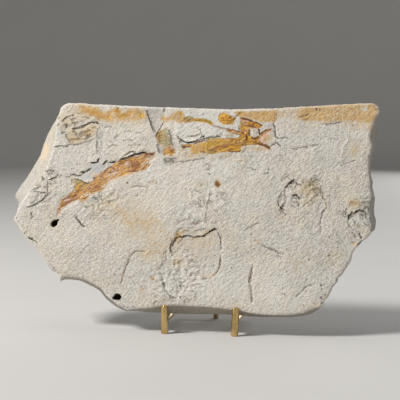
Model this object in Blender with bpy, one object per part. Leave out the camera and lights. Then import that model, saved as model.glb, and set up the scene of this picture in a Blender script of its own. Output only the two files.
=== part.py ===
"""A fossil fish slab on a brass rod stand.

The slab is one piece of split limestone that leans back on two short posts and a rear leg.
Lengths are in metres and +Z is up. The fish and every ledge lie on the slab's front face,
which was drawn on a square grid from one viewpoint: x runs right and y runs down, and
`on_face` carries a grid point on to the leaning stone.
"""

import math
import random

import bmesh
import bpy
import numpy as np
from mathutils import Matrix, Vector, noise
from mathutils.geometry import delaunay_2d_cdt

MM = 0.001
GAP = 0.3 * MM  # clearance between pieces that touch

# Slab: its face leans back, and its foot stands just behind the posts.
SLAB_THICKNESS = 22.0 * MM
SLAB_LEAN = math.radians(14.0)
FACE_FOOT_Y = 3.1 * MM
FACE_FOOT_Z = 24.0 * MM

# Stand: two posts in front, two arms under the slab, a cross bar and a rear leg.
POST_DIAMETER = 8.0 * MM
POST_HEIGHT = 30.5 * MM
POST_SPACING = 75.6 * MM
POST_DOME = 0.7 * MM
POST_FOOT_ROUND = 0.25 * MM
RIGHT_POST_LEAN = math.radians(2.9)
LEFT_POST_Y = 0.5 * MM  # the stone's foot isn't straight, so this post stands a little further back
ROD_DIAMETER = 6.0 * MM
ARM_LENGTH = 80.0 * MM
ARM_END_ROUND = 0.5 * MM
LEG_FOOT_Y = 93.0 * MM
LEG_TOP_Z = 116.0 * MM
LEG_X = 3.0 * MM
LEG_TIP_ROUND = 1.8 * MM
LEG_TIP_REACH = 1.5 * MM  # how far the leg's rounded tip stands forward of the end of its axis
POSTS = (  # name, foot, sideways lean
    ("left", Vector((-POST_SPACING / 2, LEFT_POST_Y, 0.0)), 0.0),
    ("right", Vector((POST_SPACING / 2, 0.0, 0.0)), RIGHT_POST_LEAN),
)
CUTTER_REACH = 10.0 * MM  # how far a cutter stands past what it cuts

# Viewpoint and grid of the face drawing.
VIEW_TURN = math.radians(10.0)
VIEW_RISE = math.radians(5.0)
GRID_SQUARE = 1.067 * MM  # at the posts' feet
VIEW_DISTANCE = 1111.1 * GRID_SQUARE
GRID_MIDDLE = (200.0, 200.0)
GRID_FOOT = (199.35, 334.75)  # the point midway between the posts' feet

# Outline of the slab, clockwise from the left tip, in grid points.
LEFT_EDGE = (  # y, x of the front edge, x of the back edge: a broad sloping break
    (215, 15.5, 18), (210.5, 16.8, 18.5), (206, 19, 18.2), (203, 21, 18.2), (199, 23.5, 15.8),
    (195, 26, 15.2), (191, 29, 17.6), (187, 33, 20), (183, 36, 23), (178, 40, 26.8), (170, 45, 31.8),
    (165, 47, 34.7), (160, 49, 37.6), (155, 50.5, 40.5), (150, 52.5, 42), (145, 53, 43.7),
    (140, 54.5, 45.6), (135, 55, 47.6), (130, 55.2, 50.2), (125, 55.5, 52.7), (120, 57, 56),
    (115, 58.5, 58.4), (110, 60, 60.6),
)
TOP_EDGE = (
    (61, 107.3), (65.5, 104.3), (68.5, 103), (85, 103), (90, 104), (108, 104.5), (130, 105.8),
    (150, 106.5), (170, 107.2), (190, 108), (210, 108.5), (230, 109.2), (250, 108.7), (270, 108.2),
    (280, 108), (285, 107.2), (297, 107), (300, 106.4), (315, 105.8), (335, 104.5), (355, 103.5),
    (370, 103),
)
RIGHT_EDGE = (  # y, x of the front edge, x of the back edge
    (103.4, 374.5, 376), (107, 378, 378.8), (110.5, 379, 380), (114, 378.5, 380), (119, 375.5, 377),
    (125, 373, 377.2), (130, 371.5, 378), (136, 370, 377), (140, 370.5, 376.6), (144, 372, 375.8),
    (149, 372.3, 374), (156, 369.8, 371.5), (163, 368.8, 371), (168, 368.5, 370.5),
    (175, 368.6, 370.8), (182, 370.6, 373), (187, 370, 372.3), (194, 371.2, 374), (197.5, 371.6, 375),
    (202, 370, 374.6), (208, 369.6, 374), (214, 370, 374.2), (220, 371.4, 376), (226, 371.2, 375.6),
    (230, 370.6, 374.6),
)
LOWER_RIGHT_EDGE = (
    (371.5, 233), (367, 238), (361, 243), (356.5, 247.5), (352, 254), (350.5, 262), (346, 268.5),
    (342, 275), (337.6, 279), (337.4, 282.3), (332.5, 287.5), (331, 291.5), (328, 297),
    (323.3, 302.8), (322.5, 306.3),
)
BOTTOM_EDGE = (  # x, y of the front edge, y of the back edge: the underside slopes down to the back
    (318, 307.9, 309.5), (312, 309.5, 313.5), (303, 313.3, 316), (290, 315, 317.2), (280, 315.3, 317.1),
    (262, 314.8, 317), (250, 313, 316.4), (240, 310.8, 315.4), (230, 310, 314.6), (215, 307.7, 314.1),
    (200, 306.5, 314), (187, 306.2, 313.8), (175, 305.8, 313.6), (160, 306.8, 312.8),
    (150, 307.8, 312.4), (137, 309, 311.2), (127, 310, 311), (121.5, 307, 309.5), (118, 306, 307.5),
)
UNDER_LEFT_EDGE = (
    (115, 303), (110, 299), (107, 296.5), (103, 291.5), (100, 288), (95, 285), (85, 280), (80, 278),
    (72, 277), (65, 277), (60.5, 279),
)
LOWER_LEFT_EDGE = (
    (57, 275), (54, 271), (50, 269), (47, 265.5), (41, 254.5), (38, 250), (28, 240), (24, 236),
    (20.5, 231), (18.5, 226.5), (16, 222.5), (13, 219.5),
)
# How far the back edge stands from the front edge on the other stretches, in grid squares.
TOP_BACK = (3.5, 3.4)
LOWER_RIGHT_BACK = (0.5, -1.0)
UNDER_LEFT_BACK = (-0.5, 2.5)
LOWER_LEFT_BACK = (3.4, 2.2)

# Ledges: the step's height in mm, how far it spreads in grid squares, and its line.
# The stone to the left of the line, as one walks along it, stands higher.
LEDGES = (
    (1.6, 9, ((118, 159), (124, 158), (129, 156), (132, 154.5), (138, 153.5), (147, 151.5))),
    (0.6, 5, ((122, 157), (126, 154.5), (130, 152), (133, 151), (137, 151.5))),
    (1.1, 6, ((107, 162.5), (109, 162), (113, 161.8), (116, 161))),
    (1.1, 6, ((102, 164), (105, 161), (108, 159.5))),
    (1.1, 7, ((89, 162), (93, 162.5), (96, 162), (98, 160), (99.5, 157))),
    (1.0, 6, ((80, 171.5), (84, 171), (88, 170), (92, 167.5))),
    (1.0, 6, ((70, 175.5), (75, 173.5), (78, 175), (82, 175))),
    (1.0, 6, ((47, 180.5), (52, 178.5), (56, 176.5))),
    (1.2, 6, ((48, 179), (48, 184), (49, 188), (48, 192))),
    (1.4, 8, ((25, 207.5), (31, 206), (34, 204), (42, 200), (44, 198), (47, 194), (51, 193))),
    (-0.7, 7, ((33, 207), (40, 205), (48, 204), (58, 203))),
    (1.3, 8, ((179, 144), (182, 141), (187, 142.5), (194, 141), (203, 138.5), (210, 136.5), (218, 137),
              (221, 134.5))),
    (-0.7, 7, ((174, 162), (183, 161.5), (190, 160), (200, 158.5), (207, 157))),
    (-0.8, 6, ((223, 158), (235, 159.5), (245, 160), (246, 156), (251, 152.5))),
    (1.1, 7, ((165.5, 118), (162, 124), (160, 128), (158, 132), (155, 138))),
    (-0.9, 6, ((146, 110), (148, 117), (150, 122), (151, 127), (154, 133))),
    (0.7, 5, ((167, 128), (169, 134), (170, 140), (173, 149))),
    (1.0, 7, ((70, 129), (75, 128.5), (82, 127), (88, 123), (91, 122.3), (95, 122), (100, 124.5))),
    (0.8, 6, ((61, 122), (64, 118.5), (67, 116.5), (71, 115))),
    (0.6, 5, ((66, 121), (67, 127), (66, 135), (69.5, 142), (67, 147))),
    (0.8, 5, ((53, 147), (59, 145), (65, 145.5), (69, 144.5))),
    (1.1, 8, ((174, 238), (182, 236.5), (186, 235.5), (195, 237.3), (200, 236.3), (204, 234.5),
              (211, 230), (219, 228.5))),
    (-0.8, 8, ((177, 236), (175, 240), (170, 245), (170, 249), (172, 258))),
    (0.9, 7, ((215, 228), (218, 234), (221, 243), (221, 250), (220, 262), (217.5, 270), (211, 277))),
    (0.8, 6, ((284, 188), (288, 183.5), (291, 181), (296, 179.5))),
    (0.8, 4, ((291, 197), (294, 195), (297, 194), (298, 197), (296.5, 200))),
    (0.7, 5, ((319, 187), (322, 194), (323, 197), (326, 202))),
    (1.0, 5, ((347, 223), (348, 217), (350, 214.5), (353, 210.5))),
    (1.0, 6, ((353, 214), (356, 211), (358, 210), (363, 210.5), (365, 213), (366, 219), (367, 224))),
)
# Grooves, or ridges where the depth is negative: depth in mm, half width in grid squares, line.
GROOVES = (
    (0.9, 1.3, ((253.5, 263), (252, 269), (250.5, 278), (250, 287), (252, 295), (252, 300), (250.5, 306))),
    (0.6, 1.1, ((132, 253), (129, 260), (125.5, 268), (122.5, 276), (120, 287))),
    (0.5, 1.0, ((130, 255), (136.6, 251), (146, 251))),
    (0.7, 1.2, ((258, 242), (263, 245.5), (272, 250), (280, 254), (287, 254.5))),
    (0.6, 1.2, ((326, 209), (321.5, 217), (321, 222), (319.5, 238))),
    (0.7, 1.2, ((174, 226), (180, 222), (185, 219.5), (196, 225), (205, 221))),
    (0.6, 1.3, ((167, 248), (165, 255), (165.5, 260), (160, 268), (155, 271))),
    (0.6, 1.3, ((158, 270), (163, 281), (165, 289), (170, 296), (178, 299))),
    (0.6, 1.0, ((293, 299), (299, 295), (305, 287.5), (316, 283))),
    (0.6, 1.2, ((74, 214), (77, 219), (82, 225), (86, 229))),
    (0.7, 1.2, ((27, 237), (32, 238.5), (38, 244))),
    (0.9, 1.0, ((356, 229), (359, 234), (361, 238), (364, 242))),
    (0.8, 1.1, ((274, 121), (274.5, 128), (275, 134), (276, 137), (280, 140))),
    (0.8, 1.1, ((271, 147), (274, 144), (277, 143), (281, 147))),
    (0.5, 1.2, ((287, 185), (284, 196), (277, 207))),
    (-0.5, 1.4, ((349, 135), (344, 148), (340.5, 157), (340, 163))),
    (-0.5, 1.5, ((99.5, 125), (99, 131), (96.5, 140), (97, 145), (99, 157))),
    (-0.5, 1.5, ((325, 193), (327, 200), (328, 209))),
)
# Swellings and hollows: centre, the two half lengths in grid squares, turn in degrees, height in mm.
MOUNDS = (
    ((227, 119), (8, 5), 20, 0.8),
    ((253, 122), (13, 6), 5, 0.6),
    ((228, 146), (34, 8), -4, 0.5),
    ((122, 168), (30, 9), -18, -0.7),
    ((75, 195), (18, 8), -35, -0.6),
    ((166, 139), (5, 10), 0, 0.6),
    ((155, 120), (8, 14), -10, -1.0),
    ((301, 193), (22, 16), 10, 0.9),
    ((355, 203), (8, 7), 0, 0.7),
    ((195, 258), (26, 24), 0, -0.7),
    ((84, 134), (16, 8), -15, 0.7),
    ((254, 131.5), (3.4, 3.2), 0, 0.7),
)
# Blind holes: centre, radii in grid squares, turn in degrees, depth in mm.
HOLES = (
    ((54.3, 223), (4.3, 3.4), -40, 6.0),
    ((117, 297), (4.4, 3.7), 0, 6.0),
    ((254, 131.5), (1.3, 1.2), 0, 0.8),
)
# Long split steps across the back, as ledges, walked so that the higher stone is on the left.
BACK_LEDGES = (
    (2.0, 45, ((10, 190), (60, 176), (110, 186), (150, 168), (205, 160), (250, 140), (300, 146), (390, 128))),
    (-1.6, 35, ((100, 320), (130, 285), (170, 262), (205, 255), (240, 228), (262, 190), (300, 175))),
    (1.4, 28, ((300, 100), (318, 140), (342, 175), (350, 215), (380, 240))),
)

RING_STEP = 5.0  # spacing of the outline's points, in grid squares
FACE_STEP = 8.5
BACK_STEP = 12.0
LINE_STEP = 4.5
LINE_HALF_STEP = 0.35
REST_SPOT = (210.0, 222.0)  # where the leg's tip meets the back
REST_HEIGHT = -1.0 * MM
REST_RADIUS = 12.0
RIM_WIDTH = 2.0
RIM_DROP = 0.9 * MM
SIDE_RINGS = 2
SEED = 20


# --- from the drawing grid to the stone ---------------------------------------------------------

VIEW_RIGHT = Vector((math.cos(VIEW_TURN), math.sin(VIEW_TURN), 0.0))
VIEW_AHEAD = Vector((
    -math.sin(VIEW_TURN) * math.cos(VIEW_RISE),
    math.cos(VIEW_TURN) * math.cos(VIEW_RISE),
    -math.sin(VIEW_RISE),
))
VIEW_UP = VIEW_RIGHT.cross(VIEW_AHEAD)


def sight_line(x, y):
    """Direction from the eye through a grid point."""
    across = (x - GRID_MIDDLE[0]) * GRID_SQUARE / VIEW_DISTANCE
    down = (y - GRID_MIDDLE[1]) * GRID_SQUARE / VIEW_DISTANCE
    return VIEW_AHEAD + VIEW_RIGHT * across - VIEW_UP * down


EYE = -VIEW_DISTANCE * sight_line(*GRID_FOOT)
FACE_FOOT = Vector((0.0, FACE_FOOT_Y, FACE_FOOT_Z))
FACE_UP = Vector((0.0, math.sin(SLAB_LEAN), math.cos(SLAB_LEAN)))
FACE_BACK = Vector((0.0, math.cos(SLAB_LEAN), -math.sin(SLAB_LEAN)))


def on_face(x, y, depth=0.0):
    """Grid point to the slab's own frame (across, back, up), on the plane that lies `depth` behind the face."""
    ray = sight_line(x, y)
    start = FACE_FOOT + FACE_BACK * depth
    reach = (start - EYE).dot(FACE_BACK) / ray.dot(FACE_BACK)
    point = EYE + ray * reach
    return Vector((point.x, depth, (point - FACE_FOOT).dot(FACE_UP)))


def slab_placement():
    """The slab's own frame, leaning back behind the posts."""
    return Matrix.Translation(FACE_FOOT) @ Matrix.Rotation(-SLAB_LEAN, 4, "X")


# --- the outline --------------------------------------------------------------------------------

def shifted(edge, shift):
    return [((x, y), (x + shift[0], y + shift[1])) for x, y in edge]


def outline_pairs():
    """(front, back) grid points of the slab's edge, clockwise from the left tip."""
    pairs = [((front, y), (back, y)) for y, front, back in LEFT_EDGE]
    pairs += shifted(TOP_EDGE, TOP_BACK)
    pairs += [((front, y), (back, y)) for y, front, back in RIGHT_EDGE]
    pairs += shifted(LOWER_RIGHT_EDGE, LOWER_RIGHT_BACK)
    pairs += [((x, front), (x, back)) for x, front, back in BOTTOM_EDGE]
    pairs += shifted(UNDER_LEFT_EDGE, UNDER_LEFT_BACK)
    pairs += shifted(LOWER_LEFT_EDGE, LOWER_LEFT_BACK)
    return pairs


def resampled(pairs, step):
    """The closed outline with a point about every `step` along its front edge; corners are kept."""
    ring = []
    for (front, back), (next_front, next_back) in zip(pairs, pairs[1:] + pairs[:1]):
        count = max(1, round(math.dist(front, next_front) / step))
        for i in range(count):
            t = i / count
            ring.append((
                Vector(front).lerp(Vector(next_front), t),
                Vector(back).lerp(Vector(next_back), t),
            ))
    return ring


# --- relief -------------------------------------------------------------------------------------

def along(points, line):
    """For each point: signed distance from a line (right of it is positive) and place along it, 0 to 1."""
    line = np.array(line, float)
    starts, runs = line[:-1], np.diff(line, axis=0)
    lengths = np.hypot(runs[:, 0], runs[:, 1])
    before = np.concatenate([[0], np.cumsum(lengths)[:-1]])
    offset = points[:, None, :] - starts[None]
    share = np.clip((offset * runs).sum(2) / lengths**2, 0, 1)
    away = offset - share[..., None] * runs
    distance = np.hypot(away[..., 0], away[..., 1])
    nearest = distance.argmin(1)
    rows = np.arange(len(points))
    run, off = runs[nearest], offset[rows, nearest]
    side = np.sign(run[:, 0] * off[:, 1] - run[:, 1] * off[:, 0])
    place = (before[nearest] + share[rows, nearest] * lengths[nearest]) / lengths.sum()
    return distance[rows, nearest] * np.where(side == 0, 1, side), place


def fade(place, share=0.18):
    """1 along the middle of a line, falling to 0 at both ends."""
    return np.clip(np.minimum(place, 1 - place) / share, 0, 1) ** 0.7


def stepped(points, ledges):
    height = np.zeros(len(points))
    for step, spread, line in ledges:
        distance, place = along(points, line)
        height -= np.sign(distance) * step / 2 * MM * np.exp(-np.abs(distance) / spread) * fade(place)
    return height


def turned_offset(points, centre, radii, turn):
    """Points in the frame of an ellipse, in its own radii."""
    angle = math.radians(turn)
    x, y = (points - np.array(centre)).T
    along_x = (x * math.cos(angle) + y * math.sin(angle)) / radii[0]
    along_y = (y * math.cos(angle) - x * math.sin(angle)) / radii[1]
    return np.hypot(along_x, along_y)


def rough(points, size, seed):
    """Smooth seeded noise, -1 to 1, with lumps about `size` grid squares across."""
    shift = Vector((seed * 7.3, seed * 3.1, seed))
    return np.array([noise.noise(Vector((x / size, y / size, 0)) + shift) for x, y in points])


def face_relief(points, rim):
    """Height of the front face above its plane. `rim` is each point's distance from the outline."""
    height = stepped(points, LEDGES)
    for depth, width, line in GROOVES:
        distance, place = along(points, line)
        height -= depth * MM * np.exp(-((distance / width) ** 2)) * fade(place)
    for centre, radii, turn, rise in MOUNDS:
        spread = turned_offset(points, centre, radii, turn)
        height += rise * MM * np.exp(-(spread**3))
    height += 0.9 * MM * rough(points, 70, 1)
    height += 0.5 * MM * rough(points, 22, 2)
    height += 0.25 * MM * rough(points, 9, 3)
    height *= np.clip(rim / 6, 0, 1)
    height -= RIM_DROP * np.clip(1 - rim / RIM_WIDTH, 0, 1) ** 1.5
    for centre, radii, turn, depth in HOLES:
        spread = turned_offset(points, centre, radii, turn)
        height -= depth * MM * np.clip((1 - spread) / 0.3, 0, 1)
    return height


def back_relief(points, rim):
    """Height of the back above its plane: long split steps and a coarse grain."""
    height = stepped(points, BACK_LEDGES)
    height += 1.2 * MM * rough(points, 60, 4)
    height += 0.6 * MM * rough(points, 20, 5)
    height -= 1.5 * MM
    height *= np.clip(rim / 8, 0, 1)
    flat = np.exp(-((np.hypot(*(points - np.array(REST_SPOT)).T) / REST_RADIUS) ** 6))
    return height + (REST_HEIGHT - height) * flat


# --- the slab's mesh ----------------------------------------------------------------------------

def inside(points, ring):
    """Whether each point lies in the closed ring."""
    x, y = points[:, 0], points[:, 1]
    found = np.zeros(len(points), bool)
    for (x0, y0), (x1, y1) in zip(ring, np.roll(ring, -1, axis=0)):
        crosses = (y0 > y) != (y1 > y)
        rise = y1 - y0 if y1 != y0 else 1.0
        found ^= crosses & (x < (x1 - x0) * (y - y0) / rise + x0)
    return found


def rim_distance(points, ring):
    distance, _ = along(points, np.vstack([ring, ring[:1]]))
    return np.abs(distance)


def walked(line, step):
    """The line with a point about every `step`."""
    found = [line[0]]
    for a, b in zip(line, line[1:]):
        count = max(1, round(math.dist(a, b) / step))
        found += [tuple(Vector(a).lerp(Vector(b), (i + 1) / count)) for i in range(count)]
    return found


def beside(line, offset):
    """The line moved `offset` to its right."""
    moved = []
    for i, point in enumerate(line):
        before, after = Vector(line[max(i - 1, 0)]), Vector(line[min(i + 1, len(line) - 1)])
        run = (after - before).normalized()
        moved.append((point[0] - run.y * offset, point[1] + run.x * offset))
    return moved


def ellipse(centre, radii, turn, size, count):
    angle = math.radians(turn)
    points = []
    for i in range(count):
        a = 2 * math.pi * i / count
        x, y = size * radii[0] * math.cos(a), size * radii[1] * math.sin(a)
        points.append((
            centre[0] + x * math.cos(angle) - y * math.sin(angle),
            centre[1] + x * math.sin(angle) + y * math.cos(angle),
        ))
    return points


def face_lines():
    """Open and closed chains of points that the front face's triangles follow."""
    chains = []
    for _, _, line in LEDGES:
        dense = walked(line, LINE_STEP)
        chains += [beside(dense, side * LINE_HALF_STEP) for side in (-1, 1)]
    for _, width, line in GROOVES:
        dense = walked(line, LINE_STEP)
        chains += [beside(dense, side * width * 1.4) for side in (-1, 0, 1)]
    for centre, radii, turn, _ in HOLES:
        for size in (1.0, 0.7):
            rim = ellipse(centre, radii, turn, size, 12)
            chains.append(rim + rim[:1])
    return chains


def scattered(ring, step, seed):
    """Points about `step` apart in staggered rows, each nudged a little."""
    draw = random.Random(seed)
    low, high = ring.min(0), ring.max(0)
    points = []
    for row in range(int((high[1] - low[1]) / (step * 0.87)) + 1):
        for column in range(int((high[0] - low[0]) / step) + 2):
            x = low[0] + (column + row % 2 / 2) * step
            y = low[1] + row * step * 0.87
            points.append((x + draw.uniform(-0.3, 0.3) * step, y + draw.uniform(-0.3, 0.3) * step))
    return np.array(points)


def triangulated(ring, chains, spare):
    """Triangles within the ring. Returns grid points, triangles and the ring's own indices."""
    points = [tuple(p) for p in ring]
    edges = []
    for chain in chains:
        for a, b in zip(chain, chain[1:]):
            clear = inside(np.array([a, b]), ring) & (rim_distance(np.array([a, b]), ring) > 1.0)
            if clear.all():
                edges.append((len(points), len(points) + 1))
                points += [a, b]
    taken = np.array(points)
    clear = inside(spare, ring) & (rim_distance(spare, ring) > 1.2)
    near = np.array([np.hypot(*(taken - p).T).min() for p in spare])
    points += [tuple(p) for p in spare[clear & (near > 1.0)]]
    flat, _, faces, origins, _, _ = delaunay_2d_cdt(
        [Vector(p) for p in points], edges, [list(range(len(ring)))], 1, 0.05
    )
    place = {original: i for i, originals in enumerate(origins) for original in originals}
    return np.array([tuple(p) for p in flat]), faces, [place[i] for i in range(len(ring))]


def inset_ring(ring, width):
    """A ring of points `width` inside the outline, for the rounded rim."""
    closed = [tuple(p) for p in ring]
    moved = beside(closed[-1:] + closed + closed[:1], width)
    return np.array(moved[1:-1])


def side_point(front, back, share, index, layer):
    """A point on the broken side, in the slab's frame. The stone's layers stand in and out a little."""
    point = on_face(*front, depth=RIM_DROP).lerp(on_face(*back, depth=SLAB_THICKNESS), share)
    centre = on_face(*GRID_MIDDLE, depth=point.y)
    outward = (point - centre).normalized()
    wobble = noise.noise(Vector((index * 0.35, layer * 2.0, 5.0)))
    return point + outward * (wobble - 0.5) * 1.2 * MM


def slab_mesh():
    pairs = resampled(outline_pairs(), RING_STEP)
    front_ring = np.array([tuple(front) for front, _ in pairs])
    back_ring = np.array([tuple(back) for _, back in pairs])

    spare = np.vstack([inset_ring(front_ring, RIM_WIDTH), scattered(front_ring, FACE_STEP, SEED)])
    face, face_triangles, face_rim = triangulated(front_ring, face_lines(), spare)
    lines = [walked(line, 2 * LINE_STEP) for _, _, line in BACK_LEDGES]
    steps = [beside(line, side * 2 * LINE_HALF_STEP) for line in lines for side in (-1, 1)]
    rear, rear_triangles, rear_rim = triangulated(
        back_ring, steps, scattered(back_ring, BACK_STEP, SEED + 1)
    )

    mesh = bmesh.new()
    rise = face_relief(face, rim_distance(face, front_ring))
    front = []
    for (x, y), height in zip(face, rise):
        point = on_face(x, y)
        point.y -= height
        front.append(mesh.verts.new(point))
    rise = back_relief(rear, rim_distance(rear, back_ring))
    back = []
    for (x, y), height in zip(rear, rise):
        point = on_face(x, y, depth=SLAB_THICKNESS)
        point.y += height
        back.append(mesh.verts.new(point))

    for triangle in face_triangles:
        mesh.faces.new([front[i] for i in triangle])
    for triangle in rear_triangles:
        mesh.faces.new([back[i] for i in reversed(triangle)])
    rings = [[front[i] for i in face_rim]]
    for layer in range(1, SIDE_RINGS + 1):
        share = layer / (SIDE_RINGS + 1)
        rings.append([
            mesh.verts.new(side_point(first, last, share, i, layer))
            for i, (first, last) in enumerate(pairs)
        ])
    rings.append([back[i] for i in rear_rim])
    for outer, inner in zip(rings, rings[1:]):
        for i in range(len(pairs)):
            j = (i + 1) % len(pairs)
            mesh.faces.new((outer[i], outer[j], inner[j]))
            mesh.faces.new((outer[i], inner[j], inner[i]))
    bmesh.ops.recalc_face_normals(mesh, faces=mesh.faces)
    return mesh


# --- the brass stand ----------------------------------------------------------------------------

def turned_rod(diameter, length, dome_start=0.0, dome_end=0.0, segments=32):
    """A rod along +Z from the origin, with its ends rounded by the given amounts."""
    radius = diameter / 2
    profile = [(0.0, 0.0), (radius - dome_start, 0.0)]
    if dome_start:
        profile += [(radius - dome_start * 0.3, dome_start * 0.3), (radius, dome_start)]
    if dome_end:
        profile += [(radius, length - dome_end), (radius - dome_end * 0.3, length - dome_end * 0.3)]
    profile += [(radius - dome_end, length), (0.0, length)]
    mesh = bmesh.new()
    verts = [mesh.verts.new((r, 0.0, z)) for r, z in profile]
    edges = [mesh.edges.new(pair) for pair in zip(verts, verts[1:])]
    bmesh.ops.spin(
        mesh, geom=verts + edges, cent=(0, 0, 0), axis=(0, 0, 1), angle=2 * math.pi, steps=segments,
    )
    bmesh.ops.remove_doubles(mesh, verts=mesh.verts, dist=1e-6)
    bmesh.ops.recalc_face_normals(mesh, faces=mesh.faces)
    return mesh


def edge_height(x):
    """Height of the slab's rear bottom edge above the floor, at a distance x from the middle."""
    edge = [on_face(px, back, SLAB_THICKNESS) for px, _, back in BOTTOM_EDGE]
    placed = sorted((slab_placement() @ point for point in edge), key=lambda p: p.x)
    return float(np.interp(x, [p.x for p in placed], [p.z for p in placed]))


def arm_axis_height(x):
    return edge_height(x) - ROD_DIAMETER / 2 - GAP


def leg_line():
    """Foot and tip of the rear leg's axis. The tip stops short of the slab's back."""
    up = (LEG_TOP_Z - FACE_FOOT_Z + SLAB_THICKNESS * math.sin(SLAB_LEAN)) / math.cos(SLAB_LEAN)
    behind = SLAB_THICKNESS + REST_HEIGHT + LEG_TIP_REACH + GAP
    tip = FACE_FOOT + FACE_UP * up + FACE_BACK * behind
    return Vector((LEG_X, LEG_FOOT_Y, 0.0)), Vector((LEG_X, tip.y, tip.z))


def cut(obj, cutter):
    """Cut `cutter` away from `obj` with a Boolean, and keep the cutter as a hidden guide."""
    cutter.hide_render = True
    cutter.display_type = "WIRE"
    modifier = obj.modifiers.new("Cut", "BOOLEAN")
    modifier.operation = "DIFFERENCE"
    modifier.object = cutter


# --- materials and objects ----------------------------------------------------------------------

def material(name, colour, roughness, metallic):
    made = bpy.data.materials.new(name)
    made.use_nodes = True
    shader = made.node_tree.nodes["Principled BSDF"]
    shader.inputs["Base Color"].default_value = (*colour, 1.0)
    shader.inputs["Roughness"].default_value = roughness
    shader.inputs["Metallic"].default_value = metallic
    return made


def place(name, mesh, finish, parent, matrix=None, smooth=True):
    """A named object from a bmesh, under the stand's own origin."""
    data = bpy.data.meshes.new(name)
    mesh.to_mesh(data)
    mesh.free()
    if finish:
        data.materials.append(finish)
    if smooth:
        data.shade_smooth()
        data.set_sharp_from_angle(angle=math.radians(35))
    obj = bpy.data.objects.new(name, data)
    bpy.context.scene.collection.objects.link(obj)
    obj.parent = parent
    if matrix:
        obj.matrix_local = matrix
    return obj


def rod_between(start, end):
    """Placement that carries a rod along +Z on to the line from start to end."""
    return Matrix.Translation(start) @ (end - start).to_track_quat("Z", "Y").to_matrix().to_4x4()


def build_slab(stone, origin):
    return place("slab", slab_mesh(), stone, origin, slab_placement(), smooth=False)


def leaning(rod, lean):
    """The rod with its top moved sideways, and both of its ends still level."""
    shear = Matrix.Identity(4)
    shear[0][2] = math.tan(lean)
    rod.transform(shear)
    return rod


def arm_start(foot, lean):
    """The point on a post's axis where its arm starts."""
    height = arm_axis_height(foot.x)
    return foot + Vector((height * math.tan(lean), 0.0, height))


def build_posts_and_arms(brass, origin):
    """Each post, with a rod that runs back from it under the slab and is coped to it."""
    for side, foot, lean in POSTS:
        rod = leaning(turned_rod(POST_DIAMETER, POST_HEIGHT, POST_FOOT_ROUND, POST_DOME, 40), lean)
        place(f"{side}_post", rod, brass, origin, Matrix.Translation(foot))
        start = arm_start(foot, lean)
        rod = turned_rod(ROD_DIAMETER, ARM_LENGTH + POST_DIAMETER / 2, 0.0, ARM_END_ROUND)
        arm = place(f"{side}_arm", rod, brass, origin, rod_between(start, start + Vector((0, 1, 0))))
        cope = leaning(turned_rod(POST_DIAMETER + 2 * GAP, POST_HEIGHT, segments=40), lean)
        cut(arm, place(f"{side}_arm_cope", cope, None, origin, Matrix.Translation(foot)))


def build_cross_bar_and_leg(brass, origin):
    """The bar joins the arms just in front of the rear leg, and both are coped where they meet."""
    foot, tip = leg_line()
    run = (tip - foot).normalized()
    ends = [arm_start(post_foot, lean) for _, post_foot, lean in POSTS]
    middle = (ends[0] + ends[1]) / 2
    on_leg = foot + run * (middle.z / run.z)
    bar_y = on_leg.y - (ROD_DIAMETER + GAP) / run.z
    left, right = (Vector((end.x, bar_y, end.z)) for end in ends)
    rod = turned_rod(ROD_DIAMETER, (right - left).length)
    bar = place("cross_bar", rod, brass, origin, rod_between(left, right))
    for end in (left, right):
        cope = turned_rod(ROD_DIAMETER + 2 * GAP, 2 * CUTTER_REACH)
        reach = Vector((0.0, CUTTER_REACH, 0.0))
        cut(bar, place("cross_bar_cope", cope, None, origin, rod_between(end - reach, end + reach)))

    start = foot - run * CUTTER_REACH
    leg = turned_rod(ROD_DIAMETER, (tip - start).length, 0.0, LEG_TIP_ROUND)
    back_leg = place("back_leg", leg, brass, origin, rod_between(start, tip))
    below = bmesh.new()
    bmesh.ops.create_cube(below, size=4 * CUTTER_REACH)
    floor = Matrix.Translation((foot.x, foot.y, -2 * CUTTER_REACH))
    cut(back_leg, place("floor_cut", below, None, origin, floor))


def settle(origin):
    """Move everything so that the origin is under the middle of the whole object's box."""
    bpy.context.view_layer.update()
    graph = bpy.context.evaluated_depsgraph_get()
    corners = []
    for obj in origin.children:
        if not obj.hide_render:
            solid = obj.evaluated_get(graph)
            corners += [solid.matrix_world @ vert.co for vert in solid.data.vertices]
    low = [min(c[i] for c in corners) for i in range(3)]
    high = [max(c[i] for c in corners) for i in range(3)]
    origin.location = (-(low[0] + high[0]) / 2, -(low[1] + high[1]) / 2, -low[2])


def main():
    for obj in list(bpy.data.objects):
        bpy.data.objects.remove(obj)
    stone = material("limestone", (0.56, 0.51, 0.43), 0.85, 0.0)
    brass = material("brass", (0.62, 0.44, 0.17), 0.28, 1.0)
    origin = bpy.data.objects.new("stand_origin", None)
    bpy.context.scene.collection.objects.link(origin)
    build_slab(stone, origin)
    build_posts_and_arms(brass, origin)
    build_cross_bar_and_leg(brass, origin)
    settle(origin)


main()
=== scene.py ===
"""Looks of a fossil fish slab on its brass rod stand.

The slab's face was drawn on a square grid from one viewpoint, x to the right and y down, and
`on_face` carries a grid point on to the leaning stone. Ledges, grooves and stains are lines and
outlines on that grid. Lengths without a unit are grid squares, about a millimetre each.
"""

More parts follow.
